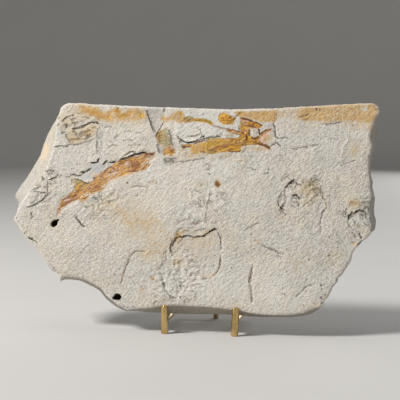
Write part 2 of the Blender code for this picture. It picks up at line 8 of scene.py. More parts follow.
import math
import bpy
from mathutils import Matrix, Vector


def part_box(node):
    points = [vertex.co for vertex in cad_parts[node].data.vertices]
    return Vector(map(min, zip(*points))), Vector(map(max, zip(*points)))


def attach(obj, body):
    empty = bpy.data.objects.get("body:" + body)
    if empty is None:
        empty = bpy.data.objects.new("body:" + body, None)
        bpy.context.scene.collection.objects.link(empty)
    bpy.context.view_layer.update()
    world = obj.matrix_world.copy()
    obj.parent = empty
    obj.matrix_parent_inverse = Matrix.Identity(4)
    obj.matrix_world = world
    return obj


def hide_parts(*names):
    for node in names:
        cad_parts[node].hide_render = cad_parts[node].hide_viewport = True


bl_info = {
    "name": "Fossil Fish Slab",
    "version": (1, 0, 0),
    "blender": (4, 5, 0),
    "location": "3D View > Sidebar > Fossil",
    "description": "Dresses a split limestone slab with a fossil fish, and its brass stand",
    "category": "Add Mesh",
}

import bmesh
import bpy
import numpy as np
from bpy.props import FloatProperty, FloatVectorProperty, IntProperty, PointerProperty
from mathutils import Matrix, Vector, kdtree, noise
from mathutils.geometry import delaunay_2d_cdt

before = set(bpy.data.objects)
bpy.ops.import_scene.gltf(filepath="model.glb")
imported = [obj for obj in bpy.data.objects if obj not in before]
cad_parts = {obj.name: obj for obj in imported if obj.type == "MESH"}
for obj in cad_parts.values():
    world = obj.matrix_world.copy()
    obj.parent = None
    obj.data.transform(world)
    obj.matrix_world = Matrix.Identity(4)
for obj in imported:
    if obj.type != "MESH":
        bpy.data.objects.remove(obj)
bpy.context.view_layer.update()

MM = 0.001

# Slab and stand, as in the frame.
SLAB_THICKNESS = 22.0 * MM
SLAB_LEAN = math.radians(14.0)
FACE_FOOT_Y = 3.1 * MM
FACE_FOOT_Z = 24.0 * MM
POST_SPACING = 75.6 * MM
LEFT_POST_Y = 0.5 * MM

# Viewpoint and grid of the face drawing.
VIEW_TURN = math.radians(10.0)
VIEW_RISE = math.radians(5.0)
GRID_SQUARE = 1.067 * MM
VIEW_DISTANCE = 1111.1 * GRID_SQUARE
GRID_MIDDLE = (200.0, 200.0)
GRID_FOOT = (199.35, 334.75)
GRID_WIDTH = 400.0
SENSOR_WIDTH = 36.0

# --- the slab's outline and relief, as drawn --------------------------------------------------------

LEFT_EDGE = (  # y, x of the front edge, x of the back edge: a broad sloping break
    (215, 15.5, 18), (210.5, 16.8, 18.5), (206, 19, 18.2), (203, 21, 18.2), (199, 23.5, 15.8),
    (195, 26, 15.2), (191, 29, 17.6), (187, 33, 20), (183, 36, 23), (178, 40, 26.8), (170, 45, 31.8),
    (165, 47, 34.7), (160, 49, 37.6), (155, 50.5, 40.5), (150, 52.5, 42), (145, 53, 43.7),
    (140, 54.5, 45.6), (135, 55, 47.6), (130, 55.2, 50.2), (125, 55.5, 52.7), (120, 57, 56),
    (115, 58.5, 58.4), (110, 60, 60.6),
)
TOP_EDGE = (
    (60.5, 107.2), (64.5, 104.2), (68.5, 103), (85, 103), (90, 104), (108, 104.5), (130, 105.8),
    (150, 106.5), (170, 107.2), (190, 108), (210, 108.5), (230, 109.2), (250, 108.7), (270, 108.2),
    (280, 108), (285, 107.2), (297, 107), (300, 106.4), (315, 105.8), (335, 104.5), (355, 103.5),
    (370, 103),
)
RIGHT_EDGE = (  # y, x of the front edge, x of the back edge
    (103.4, 374.5, 376), (107, 378, 378.8), (110.5, 379, 380), (114, 378.5, 380), (119, 375.5, 377),
    (125, 373, 377.2), (130, 371.5, 378), (136, 370, 377), (140, 370.5, 376.6), (144, 372, 375.8),
    (149, 372.3, 374), (156, 369.8, 371.5), (163, 368.8, 371), (168, 368.5, 370.5),
    (175, 368.6, 370.8), (182, 370.6, 373), (187, 370, 372.3), (194, 371.2, 374), (197.5, 371.6, 375),
    (202, 370, 374.6), (208, 369.6, 374), (214, 370, 374.2), (220, 371.4, 376), (226, 371.2, 375.6),
    (230, 370.6, 374.6),
)
LOWER_RIGHT_EDGE = (
    (371.5, 233), (367, 238), (361, 243), (356.5, 247.5), (352, 254), (350.5, 262), (346, 268.5),
    (342, 275), (337.6, 279), (337.4, 282.3), (332.5, 287.5), (331, 291.5), (328, 297),
    (323.3, 302.8), (322.5, 306.3),
)
BOTTOM_EDGE = (  # x, y of the front edge, y of the back edge: the underside slopes down to the back
    (318, 307.9, 309.5), (312, 309.5, 313.5), (303, 313.3, 316), (290, 315, 317.2), (280, 315.3, 317.1),
    (262, 314.8, 317), (250, 313, 316.4), (240, 310.8, 315.4), (230, 310, 314.6), (215, 307.7, 314.1),
    (200, 306.5, 314), (187, 306.2, 313.8), (175, 305.8, 313.6), (160, 306.8, 312.8),
    (150, 307.8, 312.4), (137, 309, 311.2), (127, 310, 311), (121.5, 307, 309.5), (118, 306, 307.5),
)
UNDER_LEFT_EDGE = (
    (115, 303), (110, 299), (107, 296.5), (103, 291.5), (100, 288), (95, 285), (85, 280), (80, 278),
    (72, 277), (65, 277), (60.5, 279),
)
LOWER_LEFT_EDGE = (
    (57, 275), (54, 271), (50, 269), (47, 265.5), (41, 254.5), (38, 250), (28, 240), (24, 236),
    (20.5, 231), (18.5, 226.5), (16, 222.5), (13, 219.5),
)
# How far the back edge stands from the front edge on the other stretches.
TOP_BACK = (3.5, 3.4)
LOWER_RIGHT_BACK = (0.5, -1.0)
UNDER_LEFT_BACK = (-0.5, 2.5)
LOWER_LEFT_BACK = (3.4, 2.2)

# Ledges: the step's height in mm, how far it spreads, and its line.
# The stone to the left of the line, as one walks along it, stands higher.
LEDGES = (
    (1.6, 9, ((118, 159), (124, 158), (129, 156), (132, 154.5), (138, 153.5), (147, 151.5))),
    (0.6, 5, ((122, 157), (126, 154.5), (130, 152), (133, 151), (137, 151.5))),
    (1.1, 6, ((107, 162.5), (109, 162), (113, 161.8), (116, 161))),
    (1.1, 6, ((102, 164), (105, 161), (108, 159.5))),
    (1.1, 7, ((89, 162), (93, 162.5), (96, 162), (98, 160), (99.5, 157))),
    (1.0, 6, ((80, 171.5), (84, 171), (88, 170), (92, 167.5))),
    (1.0, 6, ((70, 175.5), (75, 173.5), (78, 175), (82, 175))),
    (1.0, 6, ((47, 180.5), (52, 178.5), (56, 176.5))),
    (1.2, 6, ((48, 179), (48, 184), (49, 188), (48, 192))),
    (0.8, 8, ((25, 207.5), (31, 206), (34, 204), (42, 200), (44, 198), (47, 194), (51, 193))),
    (-0.7, 7, ((33, 207), (40, 205), (48, 204), (58, 203))),
    (1.3, 8, ((179, 144), (182, 141), (187, 142.5), (194, 141), (203, 138.5), (210, 136.5), (218, 137),
        (221, 134.5))),
    (-0.7, 7, ((174, 162), (183, 161.5), (190, 160), (200, 158.5), (207, 157))),
    (-0.8, 6, ((223, 158), (235, 159.5), (245, 160), (246, 156), (251, 152.5))),
    (1.1, 7, ((165.5, 118), (162, 124), (160, 128), (158, 132), (155, 138))),
    (-0.9, 6, ((146, 110), (148, 117), (150, 122), (151, 127), (154, 133))),
    (0.7, 5, ((167, 128), (169, 134), (170, 140), (173, 149))),
    (1.0, 7, ((70, 129), (75, 128.5), (82, 127), (88, 123), (91, 122.3), (95, 122), (100, 124.5))),
    (0.8, 6, ((61, 122), (64, 118.5), (67, 116.5), (71, 115))),
    (0.6, 5, ((66, 121), (67, 127), (66, 135), (69.5, 142), (67, 147))),
    (0.8, 5, ((53, 147), (59, 145), (65, 145.5), (69, 144.5))),
    (1.1, 8, ((174, 238), (182, 236.5), (186, 235.5), (195, 237.3), (200, 236.3), (204, 234.5), (211, 230),
        (219, 228.5))),
    (-0.8, 8, ((177, 236), (175, 240), (170, 245), (170, 249), (172, 258))),
    (0.9, 7, ((215, 228), (218, 234), (221, 243), (221, 250), (220, 262), (217.5, 270), (211, 277))),
    (0.8, 6, ((284, 188), (288, 183.5), (291, 181), (296, 179.5))),
    (0.8, 4, ((291, 197), (294, 195), (297, 194), (298, 197), (296.5, 200))),
    (0.7, 5, ((319, 187), (322, 194), (323, 197), (326, 202))),
    (1.0, 5, ((347, 223), (348, 217), (350, 214.5), (353, 210.5))),
    (1.0, 6, ((353, 214), (356, 211), (358, 210), (363, 210.5), (365, 213), (366, 219), (367, 224))),
)
# Grooves, or ridges where the depth is negative: depth in mm, half width, line.
GROOVES = (
    (0.9, 1.3, ((253.5, 263), (252, 269), (250.5, 278), (250, 287), (252, 295), (252, 300), (250.5, 306))),
    (0.6, 1.1, ((132, 253), (129, 260), (125.5, 268), (122.5, 276), (120, 287))),
    (0.5, 1.0, ((130, 255), (136.6, 251), (146, 251))),
    (0.7, 1.2, ((258, 242), (263, 245.5), (272, 250), (280, 254), (287, 254.5))),
    (0.6, 1.2, ((326, 209), (321.5, 217), (321, 222), (319.5, 238))),
    (0.7, 1.2, ((174, 226), (180, 222), (185, 219.5), (196, 225), (205, 221))),
    (0.6, 1.3, ((167, 248), (165, 255), (165.5, 260), (160, 268), (155, 271))),
    (0.6, 1.3, ((158, 270), (163, 281), (165, 289), (170, 296), (178, 299))),
    (0.6, 1.0, ((293, 299), (299, 295), (305, 287.5), (316, 283))),
    (0.6, 1.2, ((74, 214), (77, 219), (82, 225), (86, 229))),
    (0.7, 1.2, ((27, 237), (32, 238.5), (38, 244))),
    (0.9, 1.0, ((356, 229), (359, 234), (361, 238), (364, 242))),
    (0.8, 1.1, ((274, 121), (274.5, 128), (275, 134), (276, 137), (280, 140))),
    (0.8, 1.1, ((271, 147), (274, 144), (277, 143), (281, 147))),
    (0.5, 1.2, ((287, 185), (284, 196), (277, 207))),
    (-0.5, 1.4, ((349, 135), (344, 148), (340.5, 157), (340, 163))),
    (-0.5, 1.5, ((99.5, 125), (99, 131), (96.5, 140), (97, 145), (99, 157))),
    (-0.5, 1.5, ((325, 193), (327, 200), (328, 209))),
    (0.25, 0.8, ((183, 139), (190, 138), (196, 137), (200, 135))),
    (0.25, 0.8, ((286, 149), (303, 147.5), (313, 145.5), (322, 145))),
    (0.25, 0.8, ((336, 166), (350, 162), (360, 160))),
    (0.25, 0.8, ((318, 124), (333, 124), (350, 121.5))),
    (0.3, 0.8, ((244, 229), (250, 226), (253, 224.5), (261, 223))),
    (0.3, 0.8, ((263, 175), (267, 173.5), (273, 172))),
    (0.3, 0.8, ((125, 189), (131, 187.5), (138, 187), (147, 186))),
    (0.3, 0.9, ((201, 275), (203, 278.5), (206, 279), (209, 277))),
    (0.25, 0.9, ((276, 229), (292, 226), (310, 213), (318, 206))),
)
# Swellings and hollows: centre, the two half lengths, turn in degrees, height in mm.
MOUNDS = (
    ((227, 119), (8, 5), 20, 0.8),
    ((253, 122), (13, 6), 5, 0.6),
    ((228, 146), (34, 8), -4, 0.5),
    ((122, 168), (30, 9), -18, -0.7),
    ((75, 195), (18, 8), -35, -0.6),
    ((166, 139), (5, 10), 0, 0.6),
    ((155, 120), (8, 14), -10, -1.0),
    ((301, 193), (22, 16), 10, 0.9),
    ((355, 203), (8, 7), 0, 0.7),
    ((195, 258), (26, 24), 0, -0.7),
    ((84, 134), (16, 8), -15, 0.7),
    ((254, 131.5), (3.4, 3.2), 0, 0.7),
)
# Blind holes: centre, radii, turn in degrees, depth in mm.
HOLES = (
    ((54.1, 223.2), (4.1, 3.1), -50, 6.0),
    ((117.3, 296.9), (4.0, 3.6), 0, 6.0),
    ((57.2, 220.2), (1.7, 1.3), -30, 3.0),
    ((114.2, 297.8), (2.2, 1.5), -15, 3.0),
    ((254, 131.5), (1.3, 1.2), 0, 0.8),
)
DARK_HOLES = 4  # the first ones are painted black inside as shade, and the last is the eye
# Long split steps across the back, walked so that the higher stone is on the left.
BACK_LEDGES = (
    (2.0, 45, ((10, 190), (60, 176), (110, 186), (150, 168), (205, 160), (250, 140), (300, 146), (390, 128))),
    (-1.6, 35, ((100, 320), (130, 285), (170, 262), (205, 255), (240, 228), (262, 190), (300, 175))),
    (1.4, 28, ((300, 100), (318, 140), (342, 175), (350, 215), (380, 240))),
)
# Broad swells of the face and of the back: height in mm, size, seed.
FACE_SWELLS = ((0.9, 70, 1), (0.7, 24, 2), (0.15, 11, 3))
BACK_SWELLS = ((1.2, 60, 4), (0.6, 20, 5))
BACK_SINK = 1.5 * MM
# Fine grain of the face: share of the grain's depth, size, seed, turn in degrees, how far drawn out.
FINE_GRAIN = ((0.10, 4.6, 21, 0, 1), (0.54, 2.2, 22, 0, 1), (0.62, 2.0, 23, -38, 3))
REST_SPOT = (210.0, 222.0)  # where the leg's tip meets the back
REST_HEIGHT = -1.0 * MM
REST_RADIUS = 12.0
RIM_WIDTH = 2.0
RIM_DROP = 0.9 * MM

# Rough, pitted places on the face: centre, radii, turn in degrees, roughness in mm.
ROUGH_PLACES = (
    ((186, 272), (24, 34), 10, 0.5),
    ((304, 195), (24, 18), 15, 0.4),
    ((358, 212), (16, 16), 0, 0.4),
    ((95, 203), (20, 12), -20, 0.35),
    ((128, 166), (30, 9), -18, 0.4),
    ((82, 190), (20, 9), -30, 0.4),
    ((240, 130), (22, 9), 15, 0.35),
    ((312, 112), (30, 8), 0, 0.3),
    ((60, 274), (9, 6), 40, 0.5),
    ((128, 308), (12, 4), 10, 0.5),
    ((321, 300), (7, 8), -30, 0.5),
)

# Creased places on the face: centre, radii, turn in degrees, size of the creases, height in mm.
WRINKLED_PLACES = (
    ((80, 127), (22, 15), -15, 6.0, 0.9),
    ((104, 204), (26, 13), -20, 6.5, 0.7),
    ((206, 205), (18, 30), 60, 6.0, 0.6),
    ((305, 194), (24, 18), 15, 4.6, 0.7),
    ((357, 212), (14, 16), 60, 5.0, 0.8),
    ((120, 140), (30, 14), -10, 7.0, 0.25),
    ((240, 154), (34, 7), -5, 5.0, 0.4),
    ((250, 180), (60, 24), -35, 7.0, 0.1),
    ((330, 240), (40, 40), -35, 8.0, 0.15),
    ((180, 276), (28, 30), 20, 4.4, 0.7),
    ((44, 190), (18, 14), -30, 6.0, 0.7),
)

CREASE_BEND = 2.2  # how far the creases are bent, and the size of their bends
BEND_SIZE = 7

# --- colour, as drawn ---------------------------------------------------------------------------

# Colour layers of the face. Beside real stains, they hold painted shadow in the dark lines, painted highlight
# on the pale lips and rim, and painted shade in the holes.
STAINS = ("gold", "ochre", "rust", "ink", "tan", "chalk", "clay", "moss", "rose", "pitch", "crease",
          "crack", "mustard", "ash", "bloom")

# Stained areas: stain, strength, softness of the edge, outline.
AREAS = (
    # bands along the top edge
    ("gold", 0.84, 3.0, ((79, 104.2), (84, 104.8), (89, 105.8), (95, 106.6), (99.3, 108), (104.3, 111.6),
        (108, 110.8), (112.8, 108), (117, 107.2), (123.5, 110.6), (130, 109.2), (136.4, 108.6),
        (141.4, 110), (145.4, 112.6), (145.6, 118.6), (138, 120.6), (130.6, 120.8), (116, 120.8),
        (109, 121.6), (104, 120.8), (95, 118), (88, 115.6), (80, 112.8))),
    ("tan", 0.6, 5.0, ((66, 106), (80, 105), (96, 118), (112, 122), (140, 121), (146, 126), (128, 124),
        (104, 123), (90, 119), (76, 116))),
    ("gold", 0.85, 2.0, ((160.5, 114.7), (163.9, 115.7), (167.3, 116), (172, 114), (175.7, 111),
        (179.4, 110.2), (182.6, 111.6), (184, 117), (183.6, 121.4), (181, 123.4), (176.5, 122.4),
        (173, 120), (170, 121.6), (166, 122.5), (161.8, 121.2))),
    ("mustard", 1.0, 1.5, ((184, 117.6), (190, 116.8), (193.4, 118.6), (192, 121.6), (186, 122.4))),
    ("moss", 0.74, 1.5, ((184, 117.4), (190, 116.8), (193.4, 118.6), (192, 121.4), (186, 122.2))),
    ("rust", 0.72, 1.5, ((184, 118.6), (190, 118), (192.6, 119.4), (190, 121.6), (185, 122))),
    ("ochre", 0.92, 1.5, ((183.8, 118.2), (187, 116.8), (192, 117.6), (194, 119), (192, 121.4),
        (188, 122.2), (184, 122.4))),
    ("gold", 0.95, 1.2, ((234.3, 112), (237.5, 111.9), (247, 111.6), (262, 110.8), (277, 109.8),
        (277.2, 112), (276.4, 120.8), (274, 122.2), (262, 122.4), (258.6, 121.8), (252, 119.2),
        (246, 117.6), (241.4, 118), (237, 115.5))),
    ("gold", 0.56, 3.0, ((277, 109), (285, 107.5), (297, 107), (303, 106), (303, 120), (296, 120.5),
        (288, 116), (280, 118))),
    ("gold", 0.86, 2.6, ((299, 108), (303, 106), (315, 105.6), (335, 104.4), (356, 103.4), (375, 103.5),
        (379, 109), (377, 119), (370, 124), (362, 122.5), (346, 121), (330, 121.5), (312, 121.5),
        (303, 121), (297, 118))),
    ("gold", 0.4, 7.0, ((338, 117), (376, 117), (373, 131), (360, 133), (344, 126))),
    # the fish: body behind the gap
    ("ochre", 0.82, 2.6, ((57, 214), (58.5, 206), (60, 200.5), (64, 197.5), (68, 195), (72, 191.5),
        (74.5, 187), (75, 182.5), (78, 180.5), (84, 182.5), (90, 183), (93, 180), (96, 176), (100, 173),
        (104, 171), (108, 168), (111, 166), (114, 163.5), (119, 160.8), (126, 158.5), (131, 156.3),
        (138, 154.8), (145, 153.4), (154.5, 152.6), (154, 156), (151, 162), (149, 167), (144, 170.5),
        (138, 172), (130, 174), (122, 177), (114, 178.8), (109, 180.5), (107, 185), (105, 189), (98, 192.5),
        (91, 194.5), (89.5, 196), (84, 201), (80.5, 202), (80, 200), (74, 201), (67, 204.5), (62, 208.5),
        (59, 214))),
    ("mustard", 0.16, 3.0, ((90, 183), (93, 177), (98, 176), (104, 172.6), (110, 172), (116, 172),
        (124, 168.6), (128, 170), (127, 174), (118, 176.6), (111, 180.6), (105, 185), (100, 184),
        (94, 185.4))),
    ("tan", 0.95, 2.2, ((71, 179), (75, 178.8), (79, 179.4), (83, 181.4), (87, 183.4), (91, 183), (90, 188),
        (84, 191), (78, 192.4), (75.4, 189.6), (73.6, 185), (71, 182.4))),
    ("moss", 0.36, 2.6, ((75, 181), (80, 181.4), (86, 184.4), (91, 184), (90, 189), (83, 191), (78, 191))),
    ("rust", 0.3, 3.0, ((59, 210), (62, 203), (72, 194.6), (80, 190), (92, 182), (100, 176), (112, 170),
        (122, 164), (132, 158), (150, 154), (152, 158), (142, 169), (124, 174), (108, 180), (100, 189),
        (88, 194), (76, 199), (66, 204))),
    ("ochre", 1.0, 2.2, ((90, 184.5), (96, 182), (101, 183.5), (103, 187), (101, 190.6), (94, 191.4),
        (89.5, 190.5))),
    ("rust", 0.52, 2.2, ((94, 185.6), (99, 184.6), (101.4, 187), (99, 189.4), (95, 189))),
    ("ochre", 1.15, 1.8, ((131.5, 158), (135, 156.6), (140, 157), (142.6, 160), (141, 165), (139, 170),
        (134, 171.2), (131, 168.5), (130.8, 162))),
    ("ochre", 0.95, 1.8, ((117, 161), (124, 159.4), (131, 158), (131, 163), (124, 163.6), (117, 164))),
    ("rust", 0.46, 1.6, ((118, 160.6), (125, 159.6), (131, 157.8), (131, 160.4), (124, 162.4), (118, 163))),
    ("rust", 0.72, 1.6, ((144, 153.4), (149.6, 152.4), (155, 152.6), (154, 155.4), (148, 156),
        (144, 155.8))),
    ("ochre", 1.0, 1.6, ((59, 206), (62, 203), (67, 200.5), (74, 195.5), (79, 194.6), (75, 199.5),
        (69, 202.5), (63, 207.5))),
    ("ochre", 0.95, 1.4, ((61, 200.6), (68, 196.6), (74, 194), (80, 189.6), (89, 187), (88, 190.4),
        (79, 194.6), (71, 199), (64, 202))),
    ("rose", 0.58, 4.0, ((60, 206), (64, 199), (74, 193), (84, 188), (92, 183), (100, 175), (110, 168),
        (120, 162), (132, 157), (150, 153.6), (152, 158), (146, 168), (132, 173), (112, 178), (104, 188),
        (92, 193), (78, 200), (68, 204))),
    ("rose", 0.55, 2.2, ((110, 171), (114, 166), (120, 164.6), (128, 164), (130, 168), (122, 171.5),
        (113, 174))),
    ("rose", 0.44, 2.2, ((91, 172.6), (96, 172), (98, 175), (94, 177.6), (90.6, 176))),
    ("rose", 0.5, 2.0, ((80, 201), (82, 197.5), (87, 196), (89, 195), (86, 199), (82, 202.5))),
    ("ash", 0.95, 2.6, ((90.6, 163.4), (96, 163), (103, 162.6), (104, 167), (101, 170.6), (96, 172.4),
        (91, 172.4), (90, 168))),
    ("ash", 0.8, 2.4, ((84, 174), (89, 172.6), (90.6, 177), (86, 178.6), (82, 177))),
    # body in front of it
    ("mustard", 0.84, 3.4, ((189.6, 146.4), (192, 144.6), (198.6, 142.2), (207.6, 140.2), (209.4, 146),
        (208.6, 153.4), (200, 153.2), (193, 154.4), (190.4, 151))),
    ("tan", 0.7, 2.0, ((184, 147.6), (191, 146.6), (192, 153.6), (207, 154.4), (207, 155.6), (190, 156.4),
        (184, 154.6))),
    ("ochre", 1.35, 0.8, ((207.8, 139.1), (214, 138.4), (222, 138.6), (229, 138.2), (236, 138.2),
        (241, 138.8), (249, 139.4), (256, 141), (259.4, 143.6), (255, 144.6), (249, 145), (241, 146.7),
        (240.7, 151.5), (228, 151.6), (220, 152.6), (212, 153.8), (207.8, 153.4))),
    ("mustard", 1.1, 1.6, ((207, 139.2), (214, 138.4), (223, 138.8), (223.6, 143.6), (217, 146),
        (207, 147.6))),
    ("mustard", 0.7, 1.8, ((223, 140), (236, 140.4), (246, 140.6), (248, 143.4), (238, 144.6), (223, 146))),
    ("moss", 0.46, 1.4, ((207.8, 151.2), (214, 150.6), (221, 149.6), (228, 148.4), (227.6, 151),
        (220, 152.6), (212, 153.8), (207.8, 153.6))),
    ("moss", 0.46, 1.0, ((207.8, 139), (215, 138.4), (215, 140.2), (207.8, 140.6))),
    ("moss", 0.62, 1.6, ((224, 134.4), (230, 133.8), (236, 135.4), (238, 137.6), (231, 137.4), (225, 138))),
    ("moss", 0.5, 1.4, ((241, 145.2), (248, 143.8), (256, 143.8), (255, 145.2), (248, 145.6), (241, 147))),
    ("rust", 0.62, 1.4, ((208, 149.4), (214, 147.4), (222, 144.8), (232, 142.8), (241, 140.6), (241, 142.8),
        (232, 145.4), (222, 148), (214, 150.6), (208, 152))),
    ("rose", 0.5, 1.4, ((209, 148.4), (215, 146.6), (223, 144.4), (240, 141.4), (240, 142.6), (224, 146.4),
        (215, 149), (209, 150.4))),
    ("rust", 0.5, 1.6, ((229, 138.4), (241, 138.6), (250, 139.6), (250, 141.4), (240, 141.4), (230, 140.8))),
    ("rust", 0.52, 1.8, ((207.8, 148.2), (214, 147.6), (222, 146.4), (222, 148.6), (214, 151),
        (208, 151.4))),
    # fin blob
    ("ochre", 1.35, 1.4, ((218.6, 116.4), (220.4, 113.9), (224, 113.2), (229, 114.6), (232.4, 117.6),
        (235.4, 118.6), (234, 121), (232.6, 123.8), (228, 124.4), (223.5, 124), (220.4, 121.4),
        (218.9, 119.2))),
    ("rust", 0.5, 1.8, ((226, 119.6), (233, 119), (233, 123.6), (226.5, 124))),
    # head
    ("ochre", 1.15, 1.0, ((240.6, 117.8), (246, 118.8), (251.2, 120.6), (257, 122.8), (263.2, 126),
        (261, 127.8), (256.6, 128), (252, 127.4), (249.6, 128.6), (249, 133), (250, 136.4), (254, 138),
        (259, 136.4), (260.2, 134.2), (266, 130.6), (271.8, 128.4), (271, 131), (266, 133.4), (262, 136.6),
        (260, 141), (262, 143.4), (267, 145.2), (270.6, 148), (270, 149.6), (266, 147.8), (260, 145.4),
        (253, 144.4), (246, 143), (241, 141), (239, 137), (240.6, 131.5), (240.6, 124))),
    ("rose", 0.75, 1.2, ((241, 119.6), (246, 120), (249, 121.4), (247, 122.8), (241.4, 122.4))),
    ("rust", 0.18, 1.2, ((244, 124.6), (250, 124.2), (256, 125.4), (255.6, 127.6), (249, 127.8),
        (244, 127.2))),
    ("rust", 0.45, 1.0, ((256, 124), (260, 125), (263, 126.4), (261, 127.6), (256, 127.4))),
    ("ochre", 0.8, 1.0, ((225, 128.6), (230, 129), (238, 130.6), (243, 132.4), (243, 135.4), (238, 134.6),
        (231, 133.4), (226, 131))),
    ("rust", 0.62, 1.0, ((225.4, 128.8), (230.6, 129.2), (231.4, 131.6), (227, 131.4))),
    ("rust", 0.3, 1.4, ((241, 129), (246, 129), (249.2, 130), (249.6, 136), (246, 139), (242, 136.4),
        (241.4, 133))),
    ("rust", 0.55, 1.0, ((249.8, 136.4), (259.8, 135.8), (259.4, 138.8), (255, 140), (250.4, 139.6))),
    ("rose", 0.85, 1.6, ((258.4, 137.6), (262, 134.6), (268.6, 131.2), (269, 134), (265.6, 137.6),
        (264.6, 142), (266, 144), (261, 143), (258.4, 141))),
    ("tan", 0.85, 1.4, ((240.9, 147.8), (247, 146.4), (256, 145.4), (263, 147), (270, 150), (262, 151.2),
        (252, 151), (241, 151.4))),
    ("clay", 0.45, 1.4, ((237.6, 118), (240.2, 118), (240.2, 130.4), (238, 130.4))),
    # what lies between the two halves of the body
    ("ochre", 0.74, 1.5, ((161.6, 150.6), (163.6, 147.2), (167, 148), (168.4, 144.6), (171.4, 144),
        (172.8, 147.2), (176.2, 149.6), (176.6, 152.6), (174, 154.2), (171.8, 157.2), (168.4, 155.2),
        (165, 156.4), (162, 153.8))),
    ("clay", 0.38, 1.6, ((146, 106.5), (163.4, 107), (164, 113), (162.6, 120), (160, 126), (157, 133),
        (155, 137), (153, 131), (150.6, 124), (148, 117), (146.6, 112))),
    ("clay", 1.0, 1.4, ((157.4, 142), (160.6, 142.6), (160.8, 153), (158, 153.4))),
    ("clay", 0.62, 2.4, ((162.5, 158), (170, 157.4), (175.6, 157), (175, 163), (168, 165.4),
        (163.6, 163.8))),
    ("tan", 0.8, 2.0, ((165.4, 127), (168, 130), (170, 137), (171.6, 145.6), (166, 147), (160, 145),
        (157, 139), (158, 134), (162, 130))),
    ("moss", 0.74, 1.6, ((165.4, 127), (168, 130), (170, 137), (171.6, 145.6), (166, 146.6), (160, 144.6),
        (157, 139), (158, 134), (162, 130))),
    ("ochre", 0.9, 2.0, ((157, 133), (162, 130), (163.6, 136), (163, 144), (158, 143.6), (156.4, 138))),
    ("rust", 0.62, 2.0, ((157.6, 134), (161, 132), (162, 137), (161, 143), (158, 142), (156.8, 138))),
    ("tan", 0.45, 2.5, ((176, 147), (190, 146), (196, 154.5), (212, 155), (240, 152), (241, 156),
        (225, 159), (200, 159.5), (183, 161.5), (176, 162))),
    # wrinkled patch in the upper left
    ("tan", 0.75, 3.0, ((68, 129.5), (74, 128.8), (82.7, 127), (87, 124), (92, 123.4), (99, 124),
        (98.5, 133), (92, 137.5), (80, 142.6), (70, 143.6), (66, 136))),
    ("gold", 0.45, 3.0, ((68, 137), (74, 132), (84, 131), (90, 126), (97, 125.6), (97, 132), (90, 137),
        (79, 142), (70, 143))),
    ("tan", 0.45, 4.0, ((58, 115), (68, 110), (80, 112), (92, 117), (98, 121), (86, 123), (74, 128),
        (62, 130), (56, 124))),
)
